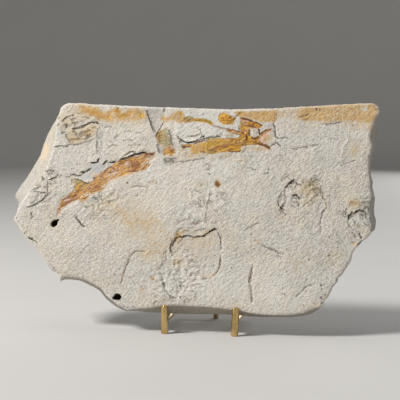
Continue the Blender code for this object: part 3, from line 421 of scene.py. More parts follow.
# Soft stains: stain, strength, centre, radii, turn in degrees.
BLOTS = (
    # top edge bands
    ("ochre", 0.62, (83.6, 107.6), (4.6, 3.2), 25), ("ochre", 0.62, (93, 112.6), (4, 2.6), 35),
    ("tan", 0.7, (100, 113), (24, 8), 10), ("tan", 0.7, (132, 114), (16, 7), 5),
    ("rust", 0.36, (92.8, 112.8), (2.6, 1.6), 20), ("rust", 0.3, (83, 106.6), (2.4, 2.4), 30),
    ("ochre", 0.46, (100, 114.6), (5, 2.6), 25), ("ochre", 0.56, (107.6, 117.6), (4, 3.4), 0),
    ("ochre", 0.74, (117.4, 110.8), (3.6, 2.8), 10), ("ochre", 0.55, (123, 116.4), (5, 3), -30),
    ("ochre", 0.55, (129, 113.6), (5, 2.6), -30), ("ochre", 0.72, (142.4, 115.6), (2.8, 3.6), 0),
    ("moss", 0.7, (137.4, 112), (1.6, 2.4), 0), ("ochre", 0.5, (134, 118.6), (4, 2), 0),
    ("rust", 0.3, (107, 118.6), (1.4, 2.4), 0), ("rust", 0.28, (100.6, 110.6), (3, 1.2), 40),
    ("rust", 0.26, (123.6, 117.4), (1.4, 1.6), 0), ("rust", 0.28, (119, 110.6), (2, 1.2), 0),
    ("chalk", 0.6, (108.4, 109.2), (3, 1.8), 0), ("chalk", 0.5, (88.6, 116.6), (2.6, 1.2), 20),
    ("chalk", 0.45, (113.6, 114.4), (2, 1.4), -30), ("chalk", 0.4, (131.4, 117), (2.4, 1), -30),
    ("gold", -0.3, (124, 111), (2.4, 1.6), -30), ("gold", -0.35, (136, 115.4), (3, 1.2), -30),
    ("ochre", 0.75, (162.6, 119), (2.2, 2), 0), ("ochre", 0.4, (168, 117.6), (3, 2), 0),
    ("ochre", 0.75, (180.6, 114), (2.6, 3), 10), ("ochre", 0.35, (175, 117.6), (3, 2), 0),
    ("moss", 0.7, (189, 117.6), (3.4, 1.2), 5), ("rust", 0.3, (177, 118.4), (1.6, 2.4), 0),
    ("ochre", 0.3, (309, 113), (8, 6), 0), ("ochre", 0.25, (322, 112), (8, 5), 0),
    ("ochre", 0.2, (345, 111), (9, 5), 0), ("ochre", 0.22, (262, 114), (13, 4.5), 0),
    ("ochre", 0.4, (241, 113.6), (5, 2), 10), ("gold", -0.75, (364.5, 109), (4.4, 2.6), 0),
    ("gold", -0.15, (291, 111), (5, 4), 0), ("tan", 0.45, (288, 113), (13, 7), 0),
    ("gold", 0.45, (240, 112), (3, 1.4), 0), ("ochre", 0.35, (376, 106), (3, 3), 0),
    ("tan", 0.3, (372, 128), (5, 9), 0),
    # rear body: where the bone is thick, and where the stone shows
    ("ochre", -0.25, (77, 184), (3.4, 3), 0), ("ochre", -0.3, (149.6, 161.6), (2, 3), 15),
    ("clay", 0.35, (118, 167.6), (6, 2.4), -16), ("clay", 0.45, (66.8, 192.8), (1.6, 1.2), 0),
    ("rust", 0.3, (56.6, 210.6), (2, 4), 30), ("rust", 0.25, (124, 161.4), (7, 2), -10),
    ("rust", 0.34, (65, 202.6), (7, 3.6), -32), ("rust", 0.28, (136, 164), (5, 6), 15),
    ("rust", 0.25, (97, 187), (5, 3), -20), ("rust", 0.3, (149, 155), (6, 1.8), -5),
    ("tan", 0.4, (84, 187), (9, 5), -20), ("ochre", 0.36, (82, 186), (8, 4), 20),
    ("moss", 0.35, (104, 180), (5, 4), -30), ("moss", 0.3, (84, 185), (5, 3), 10),
    ("chalk", 0.55, (148, 158.6), (2.6, 1.6), -20), ("chalk", 0.5, (127, 165), (3.4, 1.8), -10),
    ("mustard", 0.7, (136.8, 161), (3, 2), 0), ("rust", 0.55, (143.6, 169), (2, 1), -20),
    ("rust", 0.45, (94.4, 178), (1.8, 1.4), -20), ("moss", 0.6, (85.4, 206.2), (1.6, 1.2), -20),
    ("ink", 0.45, (85.4, 206.2), (1.3, 0.9), -20), ("rust", 0.3, (114.4, 183.4), (3.4, 1), 0),
    ("rust", 0.3, (126, 177.6), (2, 0.8), 0), ("ink", 0.3, (113, 156.6), (0.9, 1.2), 30),
    ("chalk", 0.45, (109, 187.6), (6, 3.4), -40), ("chalk", 0.4, (150.2, 161.8), (1.4, 2.2), 15),
    ("rust", 0.24, (135.6, 167), (4, 4), 0), ("ochre", 0.3, (137, 162), (3, 3), 0),
    ("rust", 0.4, (150, 157), (4, 3), 0), ("ochre", 0.4, (150, 157), (4, 3), 0),
    ("rose", 0.5, (112, 174.4), (7, 2.2), -18), ("chalk", 0.4, (112, 174), (6, 2), -18),
    ("chalk", 0.35, (64, 188), (9, 8), -20), ("chalk", 0.35, (115, 183), (6, 3), -20),
    ("chalk", 0.5, (95, 198), (2.4, 2.6), 0), ("chalk", 0.5, (62.6, 208.6), (2.4, 1), -30),
    # front body and head
    ("rose", 0.95, (226.4, 139.6), (3.2, 1.2), -4), ("moss", 0.9, (241.6, 138.3), (1.6, 1.2), 0),
    ("chalk", 0.5, (222.6, 135.2), (3, 2), -30), ("chalk", 0.5, (187, 149.6), (3.4, 2.6), 0),
    ("rose", 0.34, (198, 148), (8, 5), 0), ("tan", 0.8, (188, 151), (7, 4), -5),
    ("gold", 0.5, (222.4, 116.6), (2.6, 2), 0), ("chalk", 0.6, (228.6, 114), (1.6, 1), 30),
    ("tan", 0.8, (253.6, 132.2), (4, 4.2), 0), ("chalk", 0.55, (253.2, 133), (2.4, 2.4), 0),
    ("ochre", -1.1, (253.6, 132.2), (3.2, 3.4), 0), ("rust", -1.2, (253.6, 132.2), (3, 3.2), 0),
    ("clay", 0.75, (254.4, 131.4), (1.4, 1.3), 0), ("gold", 0.35, (251.6, 131), (1.4, 2.4), 10),
    ("clay", 0.3, (271, 139), (2.4, 3.2), 10), ("ochre", -0.2, (268, 138), (2.6, 3), 0),
    ("tan", 0.9, (267, 137.6), (5, 5), 0), ("gold", 0.95, (266, 138), (4.2, 4.6), 0),
    ("chalk", 0.15, (269, 138.6), (4.4, 4.6), 0), ("rust", 0.22, (265, 138), (4, 4), 0),
    ("chalk", 0.8, (261.9, 137.6), (1.1, 1.3), 20), ("moss", 0.8, (270, 146.4), (1.6, 1), 20),
    ("chalk", 0.55, (236, 126), (2, 2.4), 0), ("clay", 0.35, (222, 129), (8, 3.4), 10),
    ("chalk", 0.45, (214, 113), (7, 3), 0), ("clay", 0.3, (219, 156.4), (5, 1.4), 0),
    ("rose", 0.3, (228, 154.4), (9, 1.6), -4), ("ink", 0.55, (278.6, 118.8), (0.8, 1.2), -20),
    ("rose", 0.5, (246.4, 132), (1.6, 1.6), 0), ("chalk", 0.6, (175.6, 132), (1.4, 7), 0),
    ("gold", 0.4, (236.6, 148.6), (4, 1.8), -8),
    # between the halves
    ("rust", 0.76, (171.4, 150.6), (3.4, 3), 10), ("rose", 0.8, (170.4, 148), (3.4, 3), 20),
    ("clay", 0.45, (163.8, 151.6), (2.6, 3), 0), ("mustard", 0.35, (163.8, 151), (2.8, 3), 0),
    ("rust", 0.3, (163, 152), (3, 2.4), 0), ("ink", 0.45, (165.4, 150.6), (2.2, 0.9), 0),
    ("chalk", 0.7, (177.6, 151.6), (2.2, 2.4), 0), ("ochre", 0.46, (166, 138), (3, 7), 4),
    ("rust", 0.42, (166, 139), (3, 6), 4), ("tan", 0.9, (169, 161), (7, 4), 0),
    ("ochre", 0.34, (169, 161), (5, 2.6), 0), ("ink", 0.2, (168, 162), (5, 3), 0),
    ("crack", 0.4, (168, 162), (5, 3), 0), ("clay", 0.3, (169, 161), (7, 4), 0),
    ("ink", 0.3, (170, 161), (4, 2), 0), ("chalk", 0.6, (156.6, 147), (1, 7), 0),
    ("chalk", 0.55, (153, 158), (4, 4), 0), ("chalk", 0.4, (175.6, 132), (2, 7), 0),
    ("tan", 0.5, (178.6, 137.6), (2.6, 3.6), 0), ("clay", 0.2, (155, 116), (7, 8), 0),
    ("chalk", 0.45, (153, 113), (2.6, 4), 0), ("chalk", 0.4, (158, 121), (2, 4), 10),
    ("ink", 0.35, (164, 161), (1.2, 3), 0), ("ink", 0.3, (175, 160), (0.9, 3), 0),
    # wrinkled patch
    ("ochre", 0.45, (88.8, 131), (1.8, 1.8), 0), ("ochre", 0.3, (85, 135), (2.4, 1.8), 0),
    ("ochre", 0.28, (73, 139.6), (4.6, 2.2), -10), ("clay", 0.55, (79.6, 133.6), (5, 5.4), -20),
    ("rust", 0.35, (66.6, 126), (1.1, 3), 0), ("clay", 0.65, (62, 129.4), (2, 4), 8),
    ("ink", 0.6, (62.2, 132.4), (1.3, 1.2), 0), ("rust", 0.2, (62, 131), (2.2, 2.6), 0),
    ("tan", 0.35, (137, 128), (9, 3), 0), ("tan", 0.25, (120, 131), (14, 8), 0),
    # broad paler stone
    ("bloom", 0.26, (215, 178), (70, 34), 0), ("bloom", 0.34, (205, 128), (64, 16), 0),
    ("bloom", 0.3, (120, 134), (30, 14), 0), ("bloom", 0.34, (205, 290), (40, 24), 0),
    ("bloom", 0.5, (272, 288), (30, 24), 0), ("bloom", 0.15, (196, 258), (24, 22), 0),
    ("chalk", 0.24, (338, 112), (40, 9), 0), ("bloom", 0.45, (360, 128), (16, 10), 0),
    ("gold", -0.16, (292, 113), (12, 8), 0), ("bloom", 0.16, (160, 200), (36, 50), 0),
    # soft stains lower down
    ("tan", 0.55, (150, 228), (22, 20), 35), ("tan", 0.42, (122, 212), (22, 13), 10),
    ("tan", 0.4, (148, 252), (16, 8), -20), ("tan", 0.28, (98, 205), (16, 12), -20),
    ("gold", 0.34, (140, 222), (24, 15), 30), ("gold", 0.3, (155, 250), (14, 7), -15),
    ("gold", 0.3, (112, 207), (10, 5), 20), ("tan", 0.5, (196, 248), (21, 18), 0),
    ("gold", 0.3, (205, 234), (15, 3.4), -25), ("gold", 0.4, (177.6, 240), (5, 8), 10),
    ("ash", 0.4, (188, 227), (12, 3.6), -10), ("tan", 0.6, (176, 262), (8, 6), 0),
    ("gold", 0.36, (177, 236), (9, 4), -30), ("rust", 0.3, (175, 238.6), (7, 2.2), -48),
    ("rust", 0.26, (188, 224), (12, 2.4), 10), ("ochre", 0.34, (182, 232), (9, 3), -20),
    ("rust", 0.22, (173, 241), (2.4, 5), 20), ("ash", 0.3, (186, 244), (6, 9), 0),
    ("gold", 0.22, (196, 245), (14, 8), 0), ("tan", 0.45, (355, 148), (14, 12), 0),
    ("gold", 0.36, (354, 150.6), (5, 3), 0), ("moss", 0.3, (335, 257), (13, 9), -20),
    ("moss", 0.24, (72, 257), (10, 9), 0), ("tan", 0.25, (300, 128), (20, 8), 0),
    ("tan", 0.5, (307, 192), (20, 13), 15), ("moss", 0.5, (312, 184), (9, 5), 5),
    ("tan", 0.5, (310, 186), (11, 8), 5), ("ochre", 0.34, (319, 189), (1.6, 4.6), -10),
    ("tan", 0.6, (325.6, 203), (2, 5), -15), ("rust", 0.2, (318, 187), (2, 4), -10),
    ("rust", 0.28, (297, 185), (4, 1.6), 5), ("clay", 0.5, (280, 199), (2, 6), 8),
    ("ink", 0.28, (281, 209.4), (3.4, 1.2), 0), ("ash", 0.5, (288.6, 199), (3.4, 9), 5),
    ("rose", 0.5, (280, 218.4), (7, 2.2), 3), ("tan", 0.35, (296, 262), (24, 12), -20),
    ("ochre", 1.7, (217.4, 184), (2.6, 3.6), -15), ("rust", 1.0, (217.6, 185), (1.6, 2.4), -15),
    ("ink", 0.62, (217.4, 184.4), (1.3, 2.2), -15), ("chalk", 0.7, (217.5, 184), (3.8, 4.6), -15),
    ("chalk", -1.8, (217.5, 184.2), (2.9, 3.8), -15), ("tan", 0.6, (217.5, 183), (4.5, 4.5), 0),
    ("moss", 0.34, (200.4, 185), (5, 4), 10), ("tan", 0.55, (201, 185), (6.5, 4.6), 10),
    ("ink", 0.2, (198, 185), (1.6, 2.4), 10), ("gold", 0.56, (154, 181.6), (5, 3.4), 10),
    ("ochre", 0.66, (195, 257), (1.9, 1.9), 0), ("rust", 0.45, (153, 254), (1.4, 2), 20),
    ("ochre", 0.5, (152.5, 278), (2.2, 3.6), -15), ("rust", 0.42, (152.5, 279.5), (1.2, 1.8), 0),
    ("ochre", 0.5, (115, 275), (1.8, 1.4), 0), ("gold", 0.4, (142, 290), (5, 2.5), -10),
    ("gold", 0.28, (180, 262), (4, 6), 30), ("rust", 0.42, (350.6, 203), (1.8, 3.6), 15),
    ("ochre", 0.34, (355.6, 202.4), (5.6, 5), 0), ("rust", 0.3, (355, 202), (6, 5), 0),
    ("moss", 0.4, (356, 203), (6, 5), 0), ("rust", 0.36, (356, 199), (3.4, 1.6), 0),
    ("tan", 0.9, (355.6, 203.6), (7, 6), 0), ("moss", 0.8, (357.6, 225.6), (2.6, 1.8), 20),
    ("clay", 0.4, (357.6, 226), (2, 1.2), 10), ("moss", 0.5, (364, 231), (1.4, 1.8), 0),
    ("ash", 0.5, (358, 219), (6, 5), 0), ("ochre", 0.62, (354, 244), (2.2, 3.2), 30),
    ("ochre", 0.46, (257, 241), (4, 2), 25), ("ochre", 0.4, (323, 298), (5, 4.4), -50),
    ("gold", 0.45, (315, 305), (8, 2), -10), ("ochre", 0.62, (45, 150), (5.5, 18), 14),
    ("tan", 0.45, (40, 165), (8, 24), 20), ("ink", 0.4, (321, 295), (1.4, 1.2), 0),
    ("tan", 0.35, (30, 214), (6, 6), 0), ("ochre", 0.24, (160, 300), (14, 3), 0),
    ("gold", 0.25, (205, 276), (8, 4), 0), ("moss", 0.18, (240, 250), (22, 12), -20),
    ("moss", 0.16, (262, 190), (24, 12), -30),
)
# Drawn strokes: stain, strength, half width, line. The dark strokes are partly painted shadow, the pale ones
# partly painted highlight.
STROKES = (
    # skull and cheek
    ("rust", 1.3, 1.2, ((241.4, 118.5), (245.7, 119), (248.6, 120), (252.9, 121.8))),
    ("ink", 0.62, 0.6, ((241.4, 118.5), (245.7, 119), (248.6, 120), (252.4, 121.6))),
    ("rust", 1.0, 1.0, ((252.9, 121.9), (257, 123), (260, 124.4), (262.9, 126.1))),
    ("ink", 0.2, 0.6, ((254, 122.2), (257, 123), (260, 124.4), (262.9, 126.1))),
    ("rust", 0.8, 1.0, ((244.6, 126), (249, 125.4), (255, 126.2))),
    ("ink", 0.3, 0.7, ((246, 126.6), (250, 126), (254.4, 126.6))),
    ("rust", 0.5, 0.8, ((243, 122.8), (247, 123.4), (251, 123.2))),
    ("rust", 0.6, 0.8, ((250.6, 121.6), (253, 123.4), (254.4, 124.6))),
    ("chalk", 0.7, 0.7, ((242.6, 124), (246, 124.4))), ("chalk", 0.6, 0.7, ((247, 121.4), (249.6, 122))),
    ("rust", 1.1, 1.0, ((249.4, 128.4), (249.2, 131), (249.2, 134), (250.4, 136.4))),
    ("rust", 0.95, 0.9, ((250.4, 127.8), (253.6, 127.6), (257, 128.2))),
    ("rust", 1.2, 1.1, ((258.2, 128.2), (259.2, 131), (259.6, 134.4))),
    ("ink", 0.75, 0.6, ((258.4, 128.4), (259.2, 131), (259.6, 134.4))),
    ("ink", 0.5, 0.7, ((249.2, 129.4), (249, 132), (249.6, 135))),
    ("rust", 1.2, 1.4, ((250.8, 137.6), (255, 138), (259.4, 136.4))),
    ("ink", 0.55, 0.6, ((251.4, 137.8), (255, 138.4), (259, 136.8))),
    ("rust", 0.95, 1.0, ((241, 130.4), (242.6, 132.8), (244.6, 134.6))),
    ("rust", 0.8, 0.9, ((243, 128.4), (245.4, 130.4), (247.6, 132.6))),
    ("ink", 0.25, 0.5, ((241.6, 131.4), (243.4, 133.6), (245, 134.8))),
    ("chalk", 0.75, 0.8, ((244.6, 130.8), (245.4, 131.8))),
    ("chalk", 0.75, 0.8, ((246.4, 128.6), (247.6, 129.6))),
    ("ink", 0.95, 1.0, ((246.4, 134.7), (246.6, 137.2), (246, 139.7))),
    ("rust", 0.7, 0.8, ((243, 139.6), (246.6, 141), (250.6, 140.4))),
    ("ink", 0.6, 0.8, ((253.4, 143.5), (255.6, 143.6))),
    ("rust", 1.2, 1.3, ((255.7, 143), (260, 144.2), (264, 145.4), (267, 146.6), (270, 149))),
    ("ink", 0.6, 0.6, ((258, 143.8), (262, 144.9), (266.4, 146.4), (270, 149))),
    ("moss", 1.0, 0.8, ((265.7, 143.8), (268, 145.4), (270, 146.9), (272, 147.2))),
    ("ink", 0.45, 0.6, ((266, 144), (268, 145.4), (270.4, 147.2))),
    ("rust", 1.2, 1.1, ((259.3, 134.6), (262.1, 132.6), (265.7, 130.4), (271.4, 128.8))),
    ("ink", 0.45, 0.7, ((259.6, 134.2), (262.1, 132.6), (265.7, 130.4))),
    ("rose", 1.0, 0.9, ((262.6, 134.6), (266, 132.4), (271, 130))),
    ("rust", 0.7, 0.8, ((258, 139.8), (260, 142), (263, 143.4))),
    ("rust", 0.5, 0.7, ((250.6, 141.8), (253.6, 142.4), (256, 142))),
    ("rose", 0.9, 0.8, ((257.9, 146.1), (262, 147.2), (266, 148.6), (270, 150.4))),
    ("chalk", 0.6, 0.7, ((256, 145.6), (261, 146.4), (265, 147.8))),
    ("gold", 0.9, 0.8, ((247.6, 136.6), (249.4, 137.6))),
    ("rust", 0.45, 0.7, ((250.4, 111.8), (250.8, 115), (250.4, 119))),
    ("rust", 0.5, 0.8, ((274.2, 110.6), (274.6, 115), (274.2, 121))),
    ("rust", 0.4, 0.7, ((276.6, 110.6), (276.8, 115), (276.4, 120))),
    ("rust", 0.35, 0.7, ((242, 113), (245, 114.4), (248, 114.6))),
    ("rust", 0.3, 0.7, ((252, 117), (257, 118), (262, 119.6))),
    # bone in front of the skull
    ("rust", 0.9, 0.8, ((225, 128.6), (229, 129), (233, 130), (238, 131.2), (241, 132.4))),
    ("rust", 0.8, 0.8, ((232, 133.4), (237, 134.4), (242, 135.2))),
    ("rose", 0.7, 0.8, ((231.4, 131.6), (236, 132.4), (240.6, 133.6))),
    ("clay", 0.8, 0.7, ((212, 124.7), (216, 126.4), (220, 127.6), (226, 128))),
    ("ink", 0.3, 0.6, ((212.4, 125.4), (216, 126.8), (220.6, 128), (226, 128.4))),
    ("ink", 0.45, 0.6, ((238.6, 125.4), (238.7, 130.4))),
    # rays and edges of the front body
    ("rose", 0.75, 0.9, ((233, 142.8), (238, 142.2), (243, 142))),
    ("rose", 0.85, 1.1, ((208.2, 148.6), (211, 148), (215, 147.2))),
    ("ink", 0.35, 0.8, ((208, 150.6), (212, 150), (216.6, 148.6))),
    ("rust", 0.85, 0.8, ((228, 151.4), (234, 151.5), (240.6, 151.4))),
    ("ink", 0.3, 0.6, ((228.6, 151.4), (234, 151.6), (240.4, 151.5))),
    ("rust", 0.55, 0.8, ((209, 142.6), (214, 141.6), (219, 141.4))),
    ("rust", 0.5, 0.8, ((212, 144.8), (218, 143.6), (224, 142.4), (230, 141.6))),
    ("rust", 0.55, 0.8, ((224, 147.4), (230, 146), (237, 145.4))),
    ("rust", 0.4, 0.7, ((229, 149), (234, 148.4), (240, 148.2))),
    ("rust", 0.6, 0.8, ((230, 143.6), (236, 142.8), (242, 141))),
    ("rust", 0.7, 0.9, ((243, 142.4), (248, 142.6), (254, 141.6), (258, 142))),
    ("rose", 0.55, 0.8, ((209, 141.2), (213, 140.6), (217, 140))),
    ("gold", 0.9, 0.9, ((224, 142.2), (229, 141.6), (234, 140.6))),
    ("ink", 0.25, 0.6, ((243, 145.2), (248, 144.2), (254, 143.8))),
    ("rust", 0.8, 0.8, ((192, 144.4), (198.6, 142.1), (203, 141), (207.6, 140.2))),
    ("ink", 0.25, 0.6, ((193, 144), (198.6, 141.9), (207, 140))),
    ("ochre", 1.1, 1.4, ((181.4, 146.8), (184, 145.8), (188, 145.4), (192, 144.6))),
    ("rust", 1.2, 1.1, ((181.4, 147.6), (184, 146.8), (187.4, 146.6), (191, 145.6))),
    ("ink", 0.45, 0.7, ((181.4, 147.6), (184, 147), (188, 146.6))),
    ("rust", 0.7, 0.9, ((198.6, 152.4), (202.6, 151.6), (205.7, 153))),
    ("rust", 0.55, 0.8, ((190, 154), (194, 153), (198.6, 152.6))),
    ("rose", 0.6, 0.8, ((190, 150.6), (197, 149), (205, 148.6))),
    ("rust", 0.55, 0.7, ((193, 149.4), (199, 147.8), (206, 147.2))),
    ("rust", 0.35, 0.7, ((192, 151.4), (198, 150.4), (206, 150))),
    ("rust", 0.45, 0.5, ((194, 144.6), (194.6, 152.6))),
    ("rust", 0.45, 0.5, ((197, 143.8), (197.6, 152.6))),
    ("rust", 0.45, 0.5, ((200, 143), (200.6, 152.4))),
    ("rust", 0.45, 0.5, ((203, 142.2), (203.6, 152.4))),
    ("rust", 0.4, 0.5, ((205.8, 141.6), (206.2, 152.6))),
    # The pale strokes just above the ledge are painted highlights on its lit rim.
    ("chalk", 0.9, 0.9, ((181, 139.6), (184, 140.4), (190, 141), (198, 138.6), (203, 136.8))),
    ("chalk", 0.75, 0.8, ((208, 137.8), (211, 137.2), (214, 137.4))),
    ("chalk", 0.7, 0.8, ((184, 139.6), (188, 139.8), (193, 138.6))),
    ("gold", 0.7, 0.9, ((186, 157), (194, 155.6), (203, 155.2))),
    ("chalk", 0.7, 0.9, ((226, 153.6), (231, 153.2))),
    # streaks of the rear body
    ("rust", 0.9, 0.9, ((60.2, 207), (62.5, 204.8), (66, 202.2), (70, 200.8), (75, 199.2))),
    ("rust", 0.75, 0.8, ((60, 200.2), (64, 198.6), (68, 196.2), (71, 194.2), (74, 192.2))),
    ("rust", 0.85, 1.6, ((71.5, 196.8), (74, 196.6), (76.6, 193.8))),
    ("rust", 0.65, 0.8, ((75.8, 190.6), (78.5, 188.8), (81, 187))),
    ("rust", 0.75, 0.8, ((77, 193), (80.5, 190.4), (83.5, 189))),
    ("rust", 0.6, 0.7, ((84, 192), (88, 190.2), (89.6, 188.4))),
    ("rust", 0.95, 1.0, ((89.4, 187.4), (89.8, 189.6))),
    ("rust", 0.75, 0.8, ((90, 191.6), (94, 191.2), (97, 190.6))),
    ("rust", 0.8, 1.4, ((94, 187.6), (97, 186.4), (99.6, 187.2))),
    ("rust", 0.65, 0.8, ((93, 184.6), (97, 183.4), (101, 184))),
    ("rust", 0.5, 0.7, ((96, 180.6), (101, 180), (105.4, 181.4))),
    ("rust", 0.6, 0.8, ((100, 176), (104, 177.6), (106.4, 180), (106.2, 182.6))),
    ("rust", 0.9, 0.8, ((103, 172), (106, 169.6), (109, 167.2), (111, 166.2), (113, 168.4), (115, 170))),
    ("rust", 0.65, 0.7, ((107, 172.4), (111, 172.8), (115.6, 170.4), (119, 171.2))),
    ("rust", 0.85, 0.9, ((118, 160.6), (122, 161.4), (126, 160.4), (130, 159))),
    ("rust", 0.6, 0.7, ((117.6, 163), (121, 163.4), (124, 162.6))),
    ("rust", 0.55, 0.7, ((121, 167.6), (124, 166.4), (127.6, 164.8), (129.6, 166))),
    ("rust", 0.9, 0.9, ((132, 159.6), (131.4, 162), (132.6, 165), (132, 168))),
    ("rust", 0.95, 0.9, ((136, 165.4), (136.6, 169.4))),
    ("rust", 0.8, 0.8, ((138.6, 161), (139.4, 164.6), (137.6, 167.4))),
    ("rust", 0.9, 1.0, ((128, 171), (131.6, 171.4), (136, 171))),
    ("rust", 0.8, 0.7, ((141.6, 160.6), (143.6, 158.6), (145.4, 156))),
    ("rust", 0.75, 0.7, ((140.6, 170.2), (143.6, 169), (146.4, 167.2))),
    ("ink", 0.6, 0.9, ((143.2, 169), (144.8, 168.5))),
    ("rust", 0.75, 0.7, ((151.6, 161.6), (149.4, 165.2), (147, 167.4))),
    ("ink", 0.6, 0.6, ((149.3, 154), (152, 153.6), (154.7, 153.6))),
    ("rust", 0.8, 1.0, ((148, 154.2), (152, 153.8), (155.4, 152.6))),
    ("moss", 0.9, 0.9, ((72.7, 179.4), (78, 179.8), (81.3, 181), (85.3, 183.4), (88, 183.8), (90.7, 183))),
    ("chalk", 0.7, 0.9, ((74, 177.4), (80, 178.2), (84.6, 180.4), (88.6, 181.4))),
    ("rust", 0.75, 0.8, ((81.3, 199.3), (85, 197.8), (90, 195.3))),
    ("rust", 0.6, 0.7, ((60.6, 208.4), (59.6, 211.6))),
    ("ochre", 0.8, 0.8, ((76, 183.4), (80, 185), (84, 188))),
    ("ochre", 0.8, 0.8, ((79, 182), (84, 185), (88, 187.4))),
    ("tan", 0.9, 0.9, ((63.3, 199.9), (66.6, 200), (70, 198.6))),
    ("chalk", 0.8, 0.7, ((63.3, 200.9), (67, 199.6), (70, 199.2))),
    ("rust", 0.9, 0.8, ((80, 190.4), (77.3, 192.2), (73.3, 195.3), (68, 197), (62, 200.2))),
    ("rust", 0.9, 0.8, ((77.3, 198), (73.3, 200.7), (70, 202.5), (65.3, 204.7), (61.3, 207.3))),
    ("chalk", 0.7, 0.8, ((80, 197), (85, 195.6), (90.7, 194))),
    ("rust", 0.9, 0.7, ((131.7, 158.6), (131.7, 163), (132, 169.4))),
    ("rust", 1.0, 0.9, ((132, 170), (135, 170.8), (138, 171.2))),
    ("rust", 0.9, 0.6, ((141, 166.4), (144, 163.6), (147.4, 160))),
    ("rust", 0.9, 0.6, ((142, 168.6), (145.6, 165), (149, 161.6))),
    ("chalk", 0.9, 0.7, ((141.6, 167.6), (144.8, 164.4), (148.4, 160.8))),
    ("chalk", 0.8, 0.7, ((140.6, 165.4), (143, 163), (145.6, 159.6))),
    ("rust", 0.8, 0.7, ((148, 165.3), (149.6, 164), (150.7, 162.7))),
    ("rust", 0.75, 0.8, ((81.4, 202), (84.4, 199.2), (87, 197.2), (89.6, 195))),
    ("rust", 0.5, 0.9, ((61, 207.6), (58.6, 211), (57, 214.6), (55.6, 219))),
    ("rose", 0.8, 0.9, ((63.6, 201.2), (68, 199.8), (72, 198.2), (76, 196.4), (80, 195.6))),
    ("rose", 0.7, 0.8, ((88, 186), (92, 183.4), (96, 181.6), (101, 181.4))),
    ("rose", 0.8, 1.0, ((138.6, 158.6), (141, 158.4), (142.6, 157.4))),
    ("rose", 0.6, 0.8, ((110, 169.4), (113, 171), (118, 169.4), (122, 168.8))),
    ("rose", 0.6, 0.7, ((79, 197.6), (84, 196), (88, 193.6))),
    ("gold", 0.8, 1.0, ((134, 160.4), (137, 159.8), (138.6, 162))),
    ("chalk", 0.7, 0.8, ((75, 177.6), (80, 178.4), (85, 180), (90, 180.6))),
    ("chalk", 0.7, 0.7, ((104, 176.4), (107, 176))),
    ("chalk", 0.6, 0.7, ((123, 163.4), (127, 161.6), (129, 160.6))),
    ("chalk", 0.6, 0.7, ((108.6, 174), (112, 173.6), (117, 172))),
    ("chalk", 0.65, 0.8, ((145.6, 158.4), (147.6, 158.8))),
    ("chalk", 0.6, 0.7, ((98, 189.6), (103, 187), (106, 183.8))),
    ("chalk", 0.55, 0.7, ((66, 205.4), (72, 202.6), (79, 200.6))),
    ("chalk", 0.8, 0.9, ((125, 156.6), (127.6, 155.2), (130, 153.8))),
    ("chalk", 0.6, 0.7, ((84, 194.6), (88, 192.4), (92, 193.4))),
    # thin streak that leads to the head
    ("mustard", 1.45, 2.0, ((189, 119.6), (194, 119.8), (199, 120.2), (206.4, 121), (210.6, 122.6),
        (212.6, 125))),
    ("rust", 0.42, 1.6, ((193, 119.6), (199, 120.4), (206.4, 121.2), (210.6, 123))),
    ("ochre", 1.4, 1.6, ((193, 119.4), (199, 120), (206.4, 120.8), (210.6, 122.6), (212.2, 124.4))),
    ("rust", 0.7, 1.0, ((207, 121.4), (210, 122), (212, 124))),
    ("gold", 0.55, 1.4, ((213, 125.5), (218, 127.6), (225, 129.6))),
    # brown threads over the lower ring
    ("rust", 0.55, 0.6, ((176.4, 226.4), (180, 222), (185.6, 219.2), (188.9, 220.9), (195.6, 223.7),
        (201, 224.2))),
    ("rust", 0.5, 0.6, ((176.7, 232), (178.9, 228.7), (184, 226.4), (190, 228))),
    ("rust", 0.5, 0.6, ((192, 231), (198.9, 229.6), (205.6, 228.7), (210, 228.7))),
    ("rust", 0.45, 0.8, ((172.6, 243), (173.4, 247), (172, 251))),
    ("rust", 0.45, 0.7, ((178, 246), (177, 251), (178.6, 255))),
    ("rust", 0.6, 0.6, ((218.3, 233.1), (220.4, 239.8), (221, 245.3))),
    ("rust", 0.6, 0.6, ((220, 258), (218.9, 265.3), (216.6, 271.6))),
    ("rust", 0.5, 0.6, ((251.6, 269), (250, 276), (248.6, 283))),
    ("chalk", 0.9, 0.8, ((222.3, 240), (222.6, 248), (222.2, 256), (221.4, 262))),
    # bright lips of the split: painted highlights where a lip or ridge faces the light, partly paler fresh
    # stone
    ("chalk", 1.0, 1.1, ((124.7, 156.8), (128, 155.6), (131.3, 153.8), (134, 153.2))),
    ("chalk", 0.9, 0.9, ((66.7, 207.4), (63, 211), (60, 215))),
    ("chalk", 0.8, 0.8, ((229.3, 161.1), (241.4, 158.3), (245.7, 156.9), (252, 152.6))),
    ("chalk", 0.8, 0.8, ((323.4, 209), (321.2, 214), (319.6, 219), (319.2, 224))),
    ("chalk", 0.7, 0.9, ((294.6, 161), (294.4, 166), (294.8, 170))),
    ("chalk", 0.6, 0.8, ((208.6, 190), (206, 202), (205.6, 209), (203.8, 216))),
    ("chalk", 0.6, 0.8, ((247.6, 275), (246.6, 280), (247.4, 286))),
    ("chalk", 1.0, 1.0, ((147.6, 170.4), (149.4, 166.6), (151.4, 163), (152.8, 159.6))),
    ("chalk", 0.6, 0.9, ((88, 202), (92, 199), (97, 195), (106, 189), (110, 184.6))),
    ("chalk", 0.5, 0.8, ((64, 210), (72, 205), (80, 201.5))),
    ("chalk", 0.75, 1.0, ((64, 209.4), (60.6, 213), (59, 219))),
    ("chalk", 0.6, 0.8, ((34, 207), (40, 205), (48, 204), (57, 203))),
    ("gold", 0.7, 0.8, ((229, 160.4), (238, 160.6), (245, 159.4), (249, 156))),
    ("chalk", 0.65, 0.9, ((230, 159.6), (238, 159.8), (244.6, 158.6), (248, 155))),
    ("chalk", 0.7, 0.8, ((268, 152.4), (273, 150.4), (281, 148))),
    ("chalk", 0.6, 0.9, ((222.6, 236), (223.6, 244), (223.4, 254), (222, 264), (219, 271), (213.6, 277.6))),
